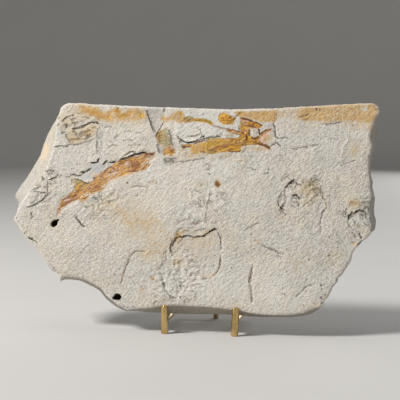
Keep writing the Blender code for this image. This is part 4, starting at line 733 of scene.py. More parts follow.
    ("chalk", 0.75, 1.1, ((349, 136), (346, 143), (344, 148), (342, 152), (340.5, 158), (340, 162))),
    ("chalk", 0.7, 0.9, ((323, 190), (326, 196), (328, 202), (328.6, 207), (325, 212))),
    ("chalk", 0.5, 0.8, ((248.4, 272), (247.6, 280), (248.6, 286))),
    ("chalk", 0.6, 0.8, ((85, 229.5), (88, 229))),
    ("ochre", 0.55, 1.0, ((219.4, 229.5), (221.8, 236), (223, 243))),
    ("ochre", 0.5, 0.9, ((222, 258), (220.6, 266), (216.6, 272), (211, 277))),
    ("gold", 0.5, 0.9, ((324, 191), (327, 199), (327.6, 206))),
    ("gold", 0.45, 1.0, ((258, 242), (263, 245.5), (270, 249))),
    ("gold", 0.45, 0.9, ((250, 267), (248.6, 276), (248.6, 284))),
    ("gold", 0.4, 0.9, ((131, 257), (127, 265), (123.6, 274), (121, 284))),
)
# Dark lines: strength, half width, line. Partly real cracks and dark bone edges, partly painted shadow where
# a ledge or step drops away.
DARK_LINES = (
    (0.85, 0.5, ((118.7, 158.7), (122, 158.4), (124.7, 158), (127.3, 157.3))),
    (0.95, 0.54, ((127.3, 157.3), (130, 155.3), (134, 154.3), (138, 154), (140.7, 153.3), (144, 152.3),
        (146.7, 153.3))),
    (0.5, 0.5, ((124, 154.7), (128, 153), (130.7, 151.3), (133.3, 151.3), (136, 152.7))),
    (0.35, 0.5, ((141.3, 150.7), (144, 149.3), (146.7, 150))),
    (0.95, 0.66, ((109.6, 162.4), (112, 162.2), (114.7, 161.7))),
    (0.6, 0.7, ((103.3, 163.6), (105.4, 161.6), (108, 160.6))),
    (0.9, 0.64, ((90.7, 162.3), (93, 162.6), (95, 162.3), (97.3, 162.3))),
    (0.8, 0.55, ((97.3, 162.3), (98.2, 160), (99, 157.7))),
    (0.6, 0.6, ((85.3, 171.7), (88, 169.8), (90.7, 167.7))),
    (0.85, 0.8, ((81.3, 170.6), (83, 172), (85.3, 172))),
    (0.6, 0.5, ((70, 174.8), (71.6, 173.4), (74, 173.6), (74.6, 175.4))),
    (0.55, 0.5, ((76, 175.4), (79, 175.8), (81.3, 175))), (0.65, 0.6, ((59.3, 175.8), (62, 175.4))),
    (0.4, 0.45, ((65.3, 176.7), (70.7, 176.7))), (0.65, 0.66, ((48.6, 180.4), (51, 179.3), (54.7, 177))),
    (0.6, 0.55, ((47.6, 180), (47.4, 182.6), (47.8, 185), (46.8, 188), (47.2, 191))),
    (0.4, 0.8, ((48, 172), (50, 176))), (0.35, 0.7, ((51, 172), (53, 175))),
    (0.42, 0.5, ((27, 207.6), (30, 206.7), (32.6, 206), (35, 204), (38.3, 202.6))),
    (0.5, 0.5, ((38.3, 202.6), (40, 201.4), (42.5, 200), (43.4, 198.6), (45, 198.2))),
    (0.5, 0.5, ((44.6, 197), (46.4, 195.4), (48.3, 195), (48.4, 193.2), (50, 192.8))),
    (0.3, 0.5, ((30, 204), (33, 202.4), (35, 200.2), (38.4, 199.4))),
    (0.3, 0.5, ((36.6, 198), (39, 196), (42, 195.6))),
    (0.4, 0.55, ((30, 192), (33, 189.5), (40, 187), (47, 186.6))),
    (0.45, 0.6, ((34, 192), (41, 192.3), (45.5, 191.8))), (0.6, 0.8, ((42, 175.5), (43, 180))),
    (0.5, 0.7, ((45, 171), (50, 169.5), (55, 172))), (0.55, 0.7, ((57, 173), (57, 176), (55, 178))),
    (0.9, 0.5, ((179.3, 142), (180, 141), (182.1, 139.6), (183.6, 141.4), (186, 142))),
    (1.0, 0.6, ((186, 142), (187.9, 142.4), (192.1, 141.9), (195.7, 140.4))),
    (0.85, 0.45, ((195.7, 140.4), (199.3, 138.6), (202.4, 136.6), (204.3, 136.1))),
    (0.4, 0.45, ((204.3, 138.6), (206.4, 137.8), (210.7, 136.1), (215.7, 136.5), (220, 136.9),
        (222.9, 134.7))),
    (0.6, 0.6, ((215.4, 136.4), (218.6, 134.6))), (0.5, 0.6, ((219.4, 134.4), (222, 132.6))),
    (0.7, 0.7, ((204, 138), (203.6, 135.2))),
    (0.5, 0.6, ((187.1, 136.9), (193.6, 135.4), (199.3, 134.7))),
    (0.35, 0.6, ((199.3, 128.3), (200.7, 132.6), (202.1, 135.4), (203.6, 136.9))),
    (0.5, 0.6, ((177, 135.4), (178.4, 138.3), (180.7, 139.7))),
    (0.4, 0.6, ((175, 162), (183, 161.5), (190, 160), (200, 158.5), (205, 157.5))),
    (0.85, 0.6, ((163.6, 121), (162, 124), (160, 128), (158, 132), (155.3, 137))),
    (0.7, 0.7, ((163.5, 107), (164.2, 113))),
    (0.5, 0.9, ((146.4, 109.3), (147.9, 115.7), (150, 121.4), (152.1, 127.1), (156.4, 133.6))),
    (0.55, 0.9, ((168, 128), (170, 134), (171.4, 141), (173.4, 146.4))),
    (0.5, 0.5, ((164, 158), (165.6, 160.4), (164.6, 163.6))),
    (0.45, 0.5, ((167, 162.6), (169.6, 160), (172.6, 160.8), (174, 163.4))),
    (0.45, 0.5, ((168.6, 157.4), (172, 158.2), (175.6, 157.6))),
    (0.5, 0.8, ((157, 143), (157.5, 149), (159, 153))), (0.8, 0.7, ((116.9, 105.8), (118.2, 109.2))),
    (0.6, 0.6, ((71.4, 128.9), (76.4, 128.2), (80.7, 126.8))),
    (0.8, 0.6, ((80.7, 126.6), (85, 125.4), (88.6, 123.2), (91.4, 122.5))),
    (0.7, 0.7, ((91.4, 122.5), (96.4, 122.1), (99.3, 124.3))),
    (0.4, 0.55, ((62.5, 120.7), (64.3, 117.9), (67, 116.4))),
    (0.75, 1.2, ((65.6, 123.6), (66.4, 126), (66, 128.6))), (0.8, 1.2, ((61.6, 131.8), (62.6, 133))),
    (0.5, 0.6, ((64.6, 133.6), (67.9, 138.6), (69.6, 142.1))),
    (0.5, 0.6, ((56.8, 125.4), (59, 124.6), (61.4, 124))), (0.45, 0.6, ((69.6, 142.1), (67.1, 145.4))),
    (0.45, 0.5, ((54, 146.7), (57, 146), (59, 145.2), (65, 145.7), (68, 145))),
    (0.38, 0.6, ((69.3, 144.3), (77.9, 144.2), (85, 142.1), (94.3, 138.6))),
    (0.42, 0.6, ((69, 117), (72, 114.8), (75, 115.4))),
    (0.42, 0.6, ((70, 120.6), (73, 118.4), (77, 118.6))),
    (0.4, 0.6, ((70, 124.6), (74, 122.6), (79, 122.2), (83, 120.4))),
    (0.36, 0.6, ((76, 113), (80, 113.6))), (0.42, 0.6, ((72, 133), (75, 131.4), (77, 133), (75, 135))),
    (0.45, 0.6, ((87, 130), (89.6, 129.6), (89.4, 132.4))),
    (0.4, 0.6, ((79, 137), (83, 135.4), (87, 135.8), (91, 133.8))),
    (0.36, 0.6, ((72, 140), (76, 138.6), (80, 139.6))),
    (0.36, 0.6, ((84, 139.6), (88, 137.6), (92, 136.6))),
    (0.36, 0.6, ((91, 128), (95, 126.6), (97, 129))), (0.34, 0.6, ((82, 117.4), (86, 117), (90, 118.8))),
    (0.32, 0.6, ((58, 119), (60, 116.6))), (0.45, 0.7, ((99.6, 126), (97.4, 130.7), (96.6, 137.1))),
    (0.4, 0.7, ((96.4, 140), (96.4, 146), (97.2, 154))),
    (0.3, 0.6, ((123.6, 130.4), (127, 130.8), (131, 130.2))),
    (0.42, 0.6, ((112.9, 138.9), (116.4, 136.4), (117.5, 132.9))),
    (0.25, 0.6, ((104, 128), (108, 126.6), (112, 127))),
    (0.25, 0.6, ((122, 141), (127, 139.6), (133, 140.6))),
    (0.25, 0.6, ((134, 133), (138, 132.4), (142, 133.4))),
    (0.25, 0.6, ((100, 140), (102, 144), (101, 149))), (0.25, 0.6, ((128, 146), (134, 144), (140, 145))),
    (0.25, 0.6, ((108, 147), (113, 145), (118, 146))), (0.6, 0.7, ((30.5, 211), (31.3, 214), (32, 219))),
    (0.75, 0.8, ((75, 216), (77, 219), (79, 222), (82, 225), (84, 227))),
    (0.85, 0.8, ((28, 238), (31, 238.3), (34, 240.5))), (0.5, 0.7, ((35, 241), (37, 243))),
    (0.45, 0.6, ((131, 256), (129, 260), (127, 264), (125.5, 268), (124, 272), (121.5, 280), (120.5, 285))),
    (0.42, 0.6, ((131, 256), (132, 253.6), (136.6, 251), (144.6, 251))),
    (1.0, 0.85, ((209.6, 231.4), (211.7, 230), (214, 228.9), (216.4, 228.8))),
    (0.8, 0.5, ((194.4, 237), (198.9, 236.2), (202.2, 235.9), (205.6, 234.8), (208.9, 232), (210.4, 230.8))),
    (0.7, 0.46, ((176.1, 233.7), (177.8, 235.9), (182.2, 236.7), (185.6, 235.9), (189, 235.4),
        (192.2, 235.9), (194.4, 237))),
    (0.95, 0.75, ((180.6, 236.2), (182.4, 236.8), (184.6, 236.2))),
    (0.5, 0.6, ((176, 233.7), (173.3, 238.7), (171.1, 243.1), (170, 247.6), (171.1, 250.3), (172.2, 253))),
    (0.55, 0.7, ((177.6, 237.6), (175.6, 239.4), (173.9, 241.4), (172.4, 244.6), (171.4, 246.6))),
    (0.4, 0.45, ((183.6, 238), (180, 241), (177.4, 243.6))),
    (0.35, 0.45, ((176.4, 232), (178.9, 228.7), (183, 227.6))),
    (0.35, 0.45, ((181, 233), (184, 230.4), (188.6, 230.2))),
    (0.3, 0.45, ((190, 232.6), (195, 230.6), (199, 229.8), (205.6, 228.7))),
    (0.5, 0.5, ((216.7, 228.9), (218.3, 233.1), (220.6, 239.8), (221.1, 245.3), (221.2, 249.6))),
    (0.62, 0.55, ((220.4, 255), (220, 262), (218.9, 265.3), (217.8, 269.8), (215.6, 273.1), (212.2, 275.9))),
    (0.5, 0.55, ((201.7, 276.4), (203.3, 278.7), (206.7, 278.9))),
    (0.35, 0.6, ((192, 281), (194.6, 279.6), (195, 277))),
    (0.5, 0.55, ((166, 250), (165.8, 255), (166.1, 258.7), (164.4, 262.6), (162.2, 264.2), (161, 267.6),
        (157.2, 270.3))),
    (0.6, 0.8, ((165.7, 258.6), (166.1, 260))), (0.7, 0.7, ((163.2, 282.6), (164.2, 285.4))),
    (0.42, 0.45, ((160, 272), (162.2, 277.6), (163.9, 283.1), (165, 288.7), (167.8, 294.2), (172.2, 297.6),
        (176, 298.4))),
    (0.4, 0.6, ((152, 304), (155, 302), (157, 300))), (0.3, 0.45, ((188, 262), (191, 259), (194, 260))),
    (0.3, 0.45, ((176, 272), (179, 270), (181, 273), (179, 276))),
    (0.3, 0.45, ((184, 268), (187, 271), (185, 274))), (0.3, 0.45, ((171, 280), (174, 278), (176, 281))),
    (0.3, 0.45, ((189, 276), (192, 273), (196, 274))), (0.3, 0.45, ((182, 252), (185, 249), (188, 251))),
    (0.3, 0.45, ((174, 264), (177, 262), (180, 264))), (0.3, 0.45, ((178, 286), (182, 284), (185, 287))),
    (0.3, 0.45, ((193, 287), (196, 284), (200, 285))), (0.3, 0.45, ((168, 268), (170, 271), (169, 275))),
    (0.28, 0.45, ((187, 292), (191, 290), (194, 292))),
    (0.45, 0.55, ((242.2, 230.9), (247, 228.4), (250, 227), (253.3, 224.8), (260, 222.6))),
    (0.5, 0.7, ((248.8, 227.6), (252.6, 225.4))),
    (0.42, 0.45, ((261, 244.5), (266, 247), (272, 250), (276, 252.5), (280, 254), (285, 254.5))),
    (0.45, 0.6, ((268, 247.5), (275, 250), (279, 253))), (0.45, 0.6, ((276, 255), (280, 256))),
    (0.42, 0.5, ((252.8, 265.4), (252.2, 268), (251.2, 271), (250.6, 275), (249.4, 279), (248.4, 283))),
    (0.42, 0.5, ((252, 268.6), (251.8, 273), (251, 279), (250.4, 284.6))),
    (0.42, 0.8, ((250.4, 284.6), (250.8, 289.8), (251.8, 295.3), (251.6, 299), (250.8, 303))),
    (0.3, 0.5, ((295, 297.5), (299, 295), (302, 291), (305, 287.5), (314, 284))),
    # the ring towards the right
    (0.45, 0.5, ((280.4, 181.7), (284.6, 174.2), (287.5, 172))),
    (0.35, 0.45, ((283.4, 180), (286.6, 176), (289.6, 173.4))),
    (0.8, 0.75, ((285.4, 187.5), (289.2, 183.3), (291.7, 180.8), (295, 179.6))),
    (0.62, 0.7, ((294.6, 183), (297.6, 184.2), (300.8, 185))),
    (0.4, 0.5, ((289.6, 183), (293.4, 182.4), (296, 183.4))),
    (0.4, 0.5, ((300.8, 181.7), (306, 182.2), (311.7, 182), (315, 180), (320, 178.3))),
    (0.5, 0.8, ((310, 179.4), (312, 178.6))), (0.45, 0.7, ((315.6, 179), (317.8, 180.4))),
    (0.35, 0.5, ((308, 186), (311.6, 184.6), (315, 186))),
    (0.35, 0.5, ((312, 176), (316, 175.4), (319, 176.6))),
    (0.35, 0.5, ((309, 190.6), (312.6, 189), (314.8, 186.4))),
    (0.5, 0.55, ((284.6, 189), (284.2, 194), (285.4, 200), (283.3, 204), (280.8, 207.5))),
    (0.5, 0.55, ((282, 191.7), (279, 196.7), (277.5, 200.8), (278.3, 205), (280.4, 207.5))),
    (0.95, 0.8, ((278.8, 205), (280.4, 208.3), (283.8, 205))),
    (0.6, 0.7, ((278.6, 209.8), (281.6, 209.2), (284.2, 210))),
    (0.5, 0.6, ((279.2, 211.7), (282.5, 211.3), (285.8, 215.8))),
    (0.3, 0.5, ((277.6, 215), (280, 213), (282, 214))),
    (0.8, 0.75, ((292, 196.3), (295, 194.6), (297, 195.4), (298.8, 199.2))),
    (0.7, 0.7, ((293, 197.8), (296.4, 198.4))),
    (0.4, 0.5, ((292.5, 202.5), (295.6, 202), (298.3, 204), (298.8, 207.5))),
    (0.35, 0.5, ((290, 206), (293, 205.4), (295, 207.6))),
    (0.5, 0.6, ((320, 185), (320, 190), (322.5, 193.3))),
    (0.7, 0.6, ((322.5, 193.3), (322.5, 198), (325, 200.8))),
    (0.4, 0.5, ((325, 200.8), (326.7, 206.7), (326, 209.6))),
    (0.3, 0.45, ((302, 206), (308, 202.6), (313, 197.4))),
    (0.55, 0.5, ((325, 208.3), (322.5, 213.3), (320.8, 219), (320.4, 224))),
    (0.4, 0.45, ((320.5, 225), (320, 230), (319.8, 235))),
    # the ring at the right edge
    (0.95, 0.75, ((348, 219.6), (348.4, 216.6), (349.3, 214.8), (351, 213.6))),
    (1.0, 0.95, ((350, 213.6), (351.4, 211.8))),
    (0.95, 0.85, ((354.6, 212.6), (356, 211.2), (357.4, 210.8))),
    (0.6, 0.55, ((357.4, 210.8), (361.4, 210.2), (365, 211.8))),
    (0.55, 0.5, ((351.6, 212), (353.4, 213.4), (355, 212.4))),
    (0.6, 0.6, ((365, 211.8), (365.8, 215), (366, 218.4))), (0.85, 0.8, ((367, 221.6), (367.8, 223))),
    (0.4, 0.5, ((343.9, 209), (342.8, 213), (343.6, 218))),
    (0.35, 0.5, ((346, 208), (345.2, 212), (345.8, 216))),
    (0.35, 0.5, ((346.4, 221), (348.4, 225), (351.4, 228))), (0.35, 0.5, ((349.9, 204), (349.4, 207))),
    (0.45, 0.5, ((366.8, 206), (368.4, 210), (368, 214))),
    (0.4, 0.5, ((371, 207), (372.4, 212), (372.6, 216.6))),
    (0.4, 0.5, ((369.6, 217), (370.6, 221), (372.4, 224))),
    (0.35, 0.5, ((364, 222), (366, 225.4), (369.4, 226))),
    (0.35, 0.5, ((361, 214), (363, 217), (362.4, 220))),
    (0.3, 0.5, ((352, 219), (354.6, 221.4), (354, 224.6))),
    (0.4, 0.5, ((362.6, 203.4), (366, 201.6), (370, 202.4))),
    (0.35, 0.5, ((362, 199.6), (366.6, 197.4), (371, 197))),
    (0.9, 0.75, ((358.3, 232.3), (360, 236.4), (362, 239.5))),
    (0.45, 0.5, ((351.6, 230), (353.4, 234), (356, 237))),
    (0.75, 0.75, ((357, 245), (359.6, 243), (362, 241.8))), (0.35, 0.5, ((350.4, 240), (352.6, 243.4))),
    # grey loops under the small brown spot, and dark lines left of it, painted shade along a step
    (0.35, 0.5, ((217, 196), (217.6, 193), (220, 192), (223, 193), (222.4, 196), (219.6, 197))),
    (0.3, 0.5, ((219.4, 194.4), (221.6, 194.8))),
    (0.4, 0.5, ((210, 189), (209.6, 196.7), (207.5, 201.7), (207.5, 208.3), (205.8, 215), (205, 221.7))),
    (0.35, 0.5, ((195, 208), (200, 206), (203, 206.6))),
    (0.35, 0.5, ((196, 190), (199, 192.4), (203, 191.6))),
    (0.3, 0.5, ((203, 166), (206, 163.4), (209.6, 164.6), (208, 168))),
    (0.3, 0.45, ((205, 170), (208.6, 169.4), (211.4, 167))),
    (0.6, 0.5, ((72.7, 178.8), (78, 179.2), (81.3, 180.2), (85.3, 182.7), (88, 183.1), (90.7, 182.2))),
    (0.4, 0.7, ((71, 178.8), (71.2, 182))), (0.6, 0.8, ((93, 178.8), (95.6, 177))),
    (0.35, 0.5, ((90.7, 199.3), (92.4, 197), (94.7, 196.7), (96, 200))),
    (0.3, 0.5, ((96.6, 198), (98.6, 202), (97.6, 206))),
    (0.3, 0.5, ((100, 197), (102.4, 200.4), (101.6, 204))), (0.3, 0.5, ((92, 203), (94, 206), (93, 210))),
    (0.3, 0.5, ((99, 208), (102, 210.6), (104.4, 209))),
    (0.35, 0.5, ((130, 188), (135.3, 186), (140.7, 186.3), (148, 186.3), (147.7, 188.7))),
    (0.7, 0.6, ((274, 123), (274.5, 128), (275, 134), (276, 137), (279, 139))),
    (0.62, 0.7, ((272, 146), (274, 144), (277, 143), (280, 146))),
    (0.45, 0.6, ((279, 138.5), (284, 137), (288, 138))),
    (0.4, 0.6, ((290, 149), (303, 147.5), (313, 145.5), (318, 145))),
    (0.3, 0.5, ((340, 166), (350, 162), (355, 160))), (0.4, 0.6, ((322, 124), (333, 124), (340, 122))),
    (0.45, 0.6, ((265, 174.5), (269, 172))), (0.35, 0.45, ((246.7, 167.9), (251, 168.2), (255.8, 169.2))),
    (0.45, 0.5, ((135.4, 197), (137.8, 193))), (0.4, 0.5, ((152.6, 183), (153.4, 181.4))),
    (0.35, 0.5, ((155.6, 184.4), (157, 181.6))), (0.45, 0.6, ((298, 117), (305, 115.5), (309, 112))),
    (0.4, 0.5, ((303, 120.5), (307, 118))), (0.4, 0.6, ((198, 126), (197.5, 129))),
    (0.5, 0.5, ((240, 112.5), (236, 116), (233, 121))),
    (0.5, 0.5, ((241, 118), (246, 119.3), (250, 121))),
    (0.6, 0.7, ((375.5, 135), (375, 139), (374, 143))),
)
# Dark specks: strength, radius, centre.
SPECKS = (
    (0.95, 1.1, (180, 297.5)), (0.85, 1.2, (283.5, 294)), (0.7, 1.1, (320.5, 285)), (0.6, 1.0, (81, 252)),
    (0.5, 0.9, (86, 207)), (0.6, 1.0, (336.5, 235)), (0.45, 0.9, (329, 237)), (0.45, 0.9, (24.5, 233)),
    (0.85, 1.0, (127, 182.5)), (0.8, 1.0, (316, 109.2)), (0.7, 0.9, (320, 109.7)), (0.7, 0.9, (338, 111)),
    (0.5, 0.9, (185.5, 188.5)), (0.6, 1.0, (115, 275)), (0.5, 0.9, (155, 296)), (0.45, 1.0, (328.5, 255)),
    (0.5, 0.9, (308.5, 259)), (0.4, 0.9, (286.5, 271)), (0.5, 0.9, (376, 109.5)), (0.45, 0.8, (353, 125)),
    (0.5, 0.9, (268, 169)), (0.45, 0.9, (303, 305)), (0.45, 0.8, (231, 268)), (0.5, 1.0, (209, 174)),
    (0.55, 1.0, (54, 267.5)), (0.6, 0.9, (56, 270)), (0.5, 0.9, (62.5, 273)), (0.5, 0.8, (58.5, 273)),
    (0.6, 0.9, (123.5, 306.5)), (0.6, 1.0, (127, 308)), (0.6, 1.0, (133, 306.5)), (0.5, 0.9, (138, 306)),
    (0.7, 1.1, (321, 297.5)), (0.6, 0.9, (325, 295)), (0.7, 1.0, (321, 302.5)),
    (0.6, 0.9, (311.5, 307.5)), (0.5, 0.8, (314, 303)), (0.5, 0.9, (25, 232)), (0.4, 0.8, (38, 222)),
    (0.5, 0.8, (91, 193)), (0.5, 0.9, (62, 214)), (0.6, 0.9, (60, 217)), (0.5, 1.0, (149.5, 182)),
    (0.4, 0.8, (100, 196)),
)
# Middle of the fish, from the tail to the eye: its streaks and bones run along it.
BACKBONE = (
    (54, 212), (64, 203), (74, 195), (88, 187), (100, 181), (112, 174), (124, 167), (136, 163),
    (148, 158), (160, 153), (172, 151), (185, 150), (200, 149), (215, 147.5), (230, 145), (242, 141),
    (254, 134), (264, 128),
)
# Beads of the backbone in the front body.
BEADS_START = (214.0, 147.6)
BEADS_END = (240.0, 142.8)
BEAD_COUNT = 14

# Spacing of points on the mesh and on its lines.
FACE_STEP = 1.12
FINE_LINE_STEP = 1.4
BACK_STEP = 3.2
RING_STEP = 1.7
DRAWN_STEP = 2.5
SIDE_LAYERS = 14
LEDGE_HALF_STEP = 0.16
WANDER = 0.85  # how far a drawn line strays
STROKE_SHARE = 0.85  # a stroke's pigment against its drawn width
CRACK_AND_SHADOW_SHARE = 1.1  # the same for a dark line, crack and painted shadow alike, before it frays
# Near-black of the darkest lines, also painted into the holes as shade.
BLACK = (0.014, 0.008, 0.004)
BONE_BLACK = (0.045, 0.018, 0.008)


# --- from the drawing grid to the stone ---------------------------------------------------------

VIEW_RIGHT = Vector((math.cos(VIEW_TURN), math.sin(VIEW_TURN), 0.0))
VIEW_AHEAD = Vector((
    -math.sin(VIEW_TURN) * math.cos(VIEW_RISE),
    math.cos(VIEW_TURN) * math.cos(VIEW_RISE),
    -math.sin(VIEW_RISE),
))
VIEW_UP = VIEW_RIGHT.cross(VIEW_AHEAD)


def sight_line(x, y):
    """Direction from the eye through a grid point."""
    across = (x - GRID_MIDDLE[0]) * GRID_SQUARE / VIEW_DISTANCE
    down = (y - GRID_MIDDLE[1]) * GRID_SQUARE / VIEW_DISTANCE
    return VIEW_AHEAD + VIEW_RIGHT * across - VIEW_UP * down


def stand_middle():
    """The point on the floor midway between the posts' feet, found from the left post."""
    low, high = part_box("left_post")
    return Vector(((low.x + high.x + POST_SPACING) / 2, (low.y + high.y) / 2 - LEFT_POST_Y, 0.0))


MIDDLE = stand_middle()
EYE = -VIEW_DISTANCE * sight_line(*GRID_FOOT)
FACE_FOOT = Vector((0.0, FACE_FOOT_Y, FACE_FOOT_Z))
FACE_UP = Vector((0.0, math.sin(SLAB_LEAN), math.cos(SLAB_LEAN)))
FACE_BACK = Vector((0.0, math.cos(SLAB_LEAN), -math.sin(SLAB_LEAN)))


def on_face(points, depth):
    """Grid points to the slab's own frame (across, back, up), each on the plane `depth` behind the face."""
    points = np.asarray(points, float)
    depth = np.broadcast_to(depth, len(points))
    scale = GRID_SQUARE / VIEW_DISTANCE
    across = (points[:, :1] - GRID_MIDDLE[0]) * scale
    down = (points[:, 1:] - GRID_MIDDLE[1]) * scale
    rays = np.array(VIEW_AHEAD) + np.array(VIEW_RIGHT) * across - np.array(VIEW_UP) * down
    to_plane = np.array(FACE_FOOT - EYE) @ np.array(FACE_BACK) + depth
    reach = to_plane / (rays @ np.array(FACE_BACK))
    found = np.array(EYE) + rays * reach[:, None]
    up = (found - np.array(FACE_FOOT)) @ np.array(FACE_UP)
    return np.column_stack([found[:, 0], depth, up])


def slab_placement():
    """The slab's own frame, leaning back behind the posts."""
    return Matrix.Translation(MIDDLE + FACE_FOOT) @ Matrix.Rotation(-SLAB_LEAN, 4, "X")


# --- lines, areas and noise on the grid ---------------------------------------------------------

def along(points, line):
    """For each point: signed distance from a line (right of it is positive) and place along it, 0 to 1."""
    line = np.array(line, float)
    starts, runs = line[:-1], np.diff(line, axis=0)
    lengths = np.hypot(runs[:, 0], runs[:, 1])
    before = np.concatenate([[0], np.cumsum(lengths)[:-1]])
    offset = points[:, None, :] - starts[None]
    share = np.clip((offset * runs).sum(2) / lengths**2, 0, 1)
    away = offset - share[..., None] * runs
    distance = np.hypot(away[..., 0], away[..., 1])
    nearest = distance.argmin(1)
    rows = np.arange(len(points))
    run, off = runs[nearest], offset[rows, nearest]
    side = np.sign(run[:, 0] * off[:, 1] - run[:, 1] * off[:, 0])
    place = (before[nearest] + share[rows, nearest] * lengths[nearest]) / lengths.sum()
    return distance[rows, nearest] * np.where(side == 0, 1, side), place


def near(points, line, reach):
    """Indices of the points within `reach` of a line's own box."""
    line = np.array(line, float)
    low, high = line.min(0) - reach, line.max(0) + reach
    return np.flatnonzero(((points > low) & (points < high)).all(1))


def fade(place, share=0.18):
    """1 along the middle of a line, falling to 0 at both ends."""
    return np.clip(np.minimum(place, 1 - place) / share, 0, 1) ** 0.7


def stepped(points, ledges):
    height = np.zeros(len(points))
    for step, spread, line in ledges:
        line = drawn(line)
        found = near(points, line, spread * 5)
        distance, place = along(points[found], line)
        drop = step / 2 * MM * np.exp(-np.abs(distance) / spread) * fade(place)
        height[found] -= np.sign(distance) * drop
    return height


def turned_offset(points, centre, radii, turn):
    """Distance of points from an ellipse's centre, in its own radii."""
    angle = math.radians(turn)
    x, y = (points - np.array(centre)).T
    along_x = (x * math.cos(angle) + y * math.sin(angle)) / radii[0]
    along_y = (y * math.cos(angle) - x * math.sin(angle)) / radii[1]
    return np.hypot(along_x, along_y)


def patch(points, centre, radii, turn):
    """1 over most of an ellipse, falling off steeply round its edge."""
    return np.exp(-(turned_offset(points, centre, radii, turn) ** 4))


def hole_spread(points, centre, radii, turn):
    """Distance from a hole's centre in its own radii, a little uneven."""
    return turned_offset(points, centre, radii, turn) + 0.18 * rough(points, 2.0, 41)


def rough(points, size, seed, turn=0.0, stretch=1.0):
    """Smooth seeded noise, -1 to 1, with lumps about `size` across, drawn out along `turn` degrees."""
    angle = math.radians(turn)
    x, y = points.T
    along_x = (x * math.cos(angle) + y * math.sin(angle)) / (size * stretch) + seed * 7.3
    along_y = (y * math.cos(angle) - x * math.sin(angle)) / size + seed * 3.1
    return np.array([noise.noise((a, b, seed)) for a, b in zip(along_x.tolist(), along_y.tolist())])


def inside(points, ring):
    """Whether each point lies in the closed ring."""
    x, y = points[:, 0], points[:, 1]
    found = np.zeros(len(points), bool)
    ring = np.asarray(ring, float)
    for (x0, y0), (x1, y1) in zip(ring, np.roll(ring, -1, axis=0)):
        crosses = (y0 > y) != (y1 > y)
        rise = y1 - y0 if y1 != y0 else 1.0
        found ^= crosses & (x < (x1 - x0) * (y - y0) / rise + x0)
    return found


def drawn(line):
    """A line walked in steps, with the small wander of a natural break."""
    points = np.array(walked(line, DRAWN_STEP))
    wander = []
    for seed in (91, 93):
        wander.append(WANDER * (rough(points, 4.5, seed) + 0.6 * rough(points, 1.9, seed + 1)))
    return points + np.column_stack(wander)


def walked(line, step):
    """The line with a point about every `step`."""
    found = [tuple(line[0])]
    for a, b in zip(line, line[1:]):
        count = max(1, round(math.dist(a, b) / step))
        found += [tuple(Vector(a).lerp(Vector(b), (i + 1) / count)) for i in range(count)]
    return found


def beside(line, offset):
    """The line moved `offset` to its right."""
    moved = []
    for i, point in enumerate(line):
        before, after = Vector(line[max(i - 1, 0)]), Vector(line[min(i + 1, len(line) - 1)])
        run = (after - before).normalized()
        moved.append((point[0] - run.y * offset, point[1] + run.x * offset))
    return moved


def ellipse(centre, radii, turn, size, count):
    angle = math.radians(turn)
    points = []
    for i in range(count):
        a = 2 * math.pi * i / count
        x, y = size * radii[0] * math.cos(a), size * radii[1] * math.sin(a)
        points.append((
            centre[0] + x * math.cos(angle) - y * math.sin(angle),
            centre[1] + x * math.sin(angle) + y * math.cos(angle),
        ))
    return points


# --- the outline --------------------------------------------------------------------------------

def shifted(edge, shift):
    return [((x, y), (x + shift[0], y + shift[1])) for x, y in edge]


def outline_pairs():
    """(front, back) grid points of the slab's edge, clockwise from the left tip."""
    pairs = [((front, y), (back, y)) for y, front, back in LEFT_EDGE]
    pairs += shifted(TOP_EDGE, TOP_BACK)
    pairs += [((front, y), (back, y)) for y, front, back in RIGHT_EDGE]
    pairs += shifted(LOWER_RIGHT_EDGE, LOWER_RIGHT_BACK)
    pairs += [((x, front), (x, back)) for x, front, back in BOTTOM_EDGE]
    pairs += shifted(UNDER_LEFT_EDGE, UNDER_LEFT_BACK)
    pairs += shifted(LOWER_LEFT_EDGE, LOWER_LEFT_BACK)
    return pairs


def resampled(pairs, step):
    """The closed outline's front and back rings, a point about every `step`, a little chipped."""
    front_ring, back_ring = [], []
    for (front, back), (next_front, next_back) in zip(pairs, pairs[1:] + pairs[:1]):
        count = max(1, round(math.dist(front, next_front) / step))
        for i in range(count):
            front_ring.append(Vector(front).lerp(Vector(next_front), i / count))
            back_ring.append(Vector(back).lerp(Vector(next_back), i / count))
    front_ring = np.array([tuple(p) for p in front_ring])
    back_ring = np.array([tuple(p) for p in back_ring])
    run = np.roll(front_ring, -1, axis=0) - np.roll(front_ring, 1, axis=0)
    outward = np.column_stack([run[:, 1], -run[:, 0]]) / np.hypot(*run.T)[:, None]
    chip = 0.45 * rough(front_ring, 3.2, 11) + 0.3 * rough(front_ring, 8, 12) - 0.1
    return front_ring + outward * chip[:, None], back_ring


# --- relief -------------------------------------------------------------------------------------

def grain(points, depth):
    """Fine relief of a split stone face: small lumps, and strokes that run up to the right."""
    height = np.zeros(len(points))
    for share, size, seed, turn, stretch in FINE_GRAIN:
        height += share * rough(points, size, seed, turn, stretch)
    return height * depth


def wrinkles(points):
    """Creased places: narrow ridges that branch and close on each other."""
    height = np.zeros(len(points))
    for centre, radii, turn, size, rise in WRINKLED_PLACES:
        weight = patch(points, centre, radii, turn)
        found = np.flatnonzero(weight > 0.02)
        bend = np.column_stack([rough(points[found], BEND_SIZE, seed) for seed in (71, 72)])
        bent = points[found] + CREASE_BEND * bend
        ridge = 1 - np.abs(rough(bent, size, 73, turn=turn, stretch=1.5)) * 3.2
        height[found] += rise * MM * weight[found] * np.clip(ridge, -0.4, 1)
    return height


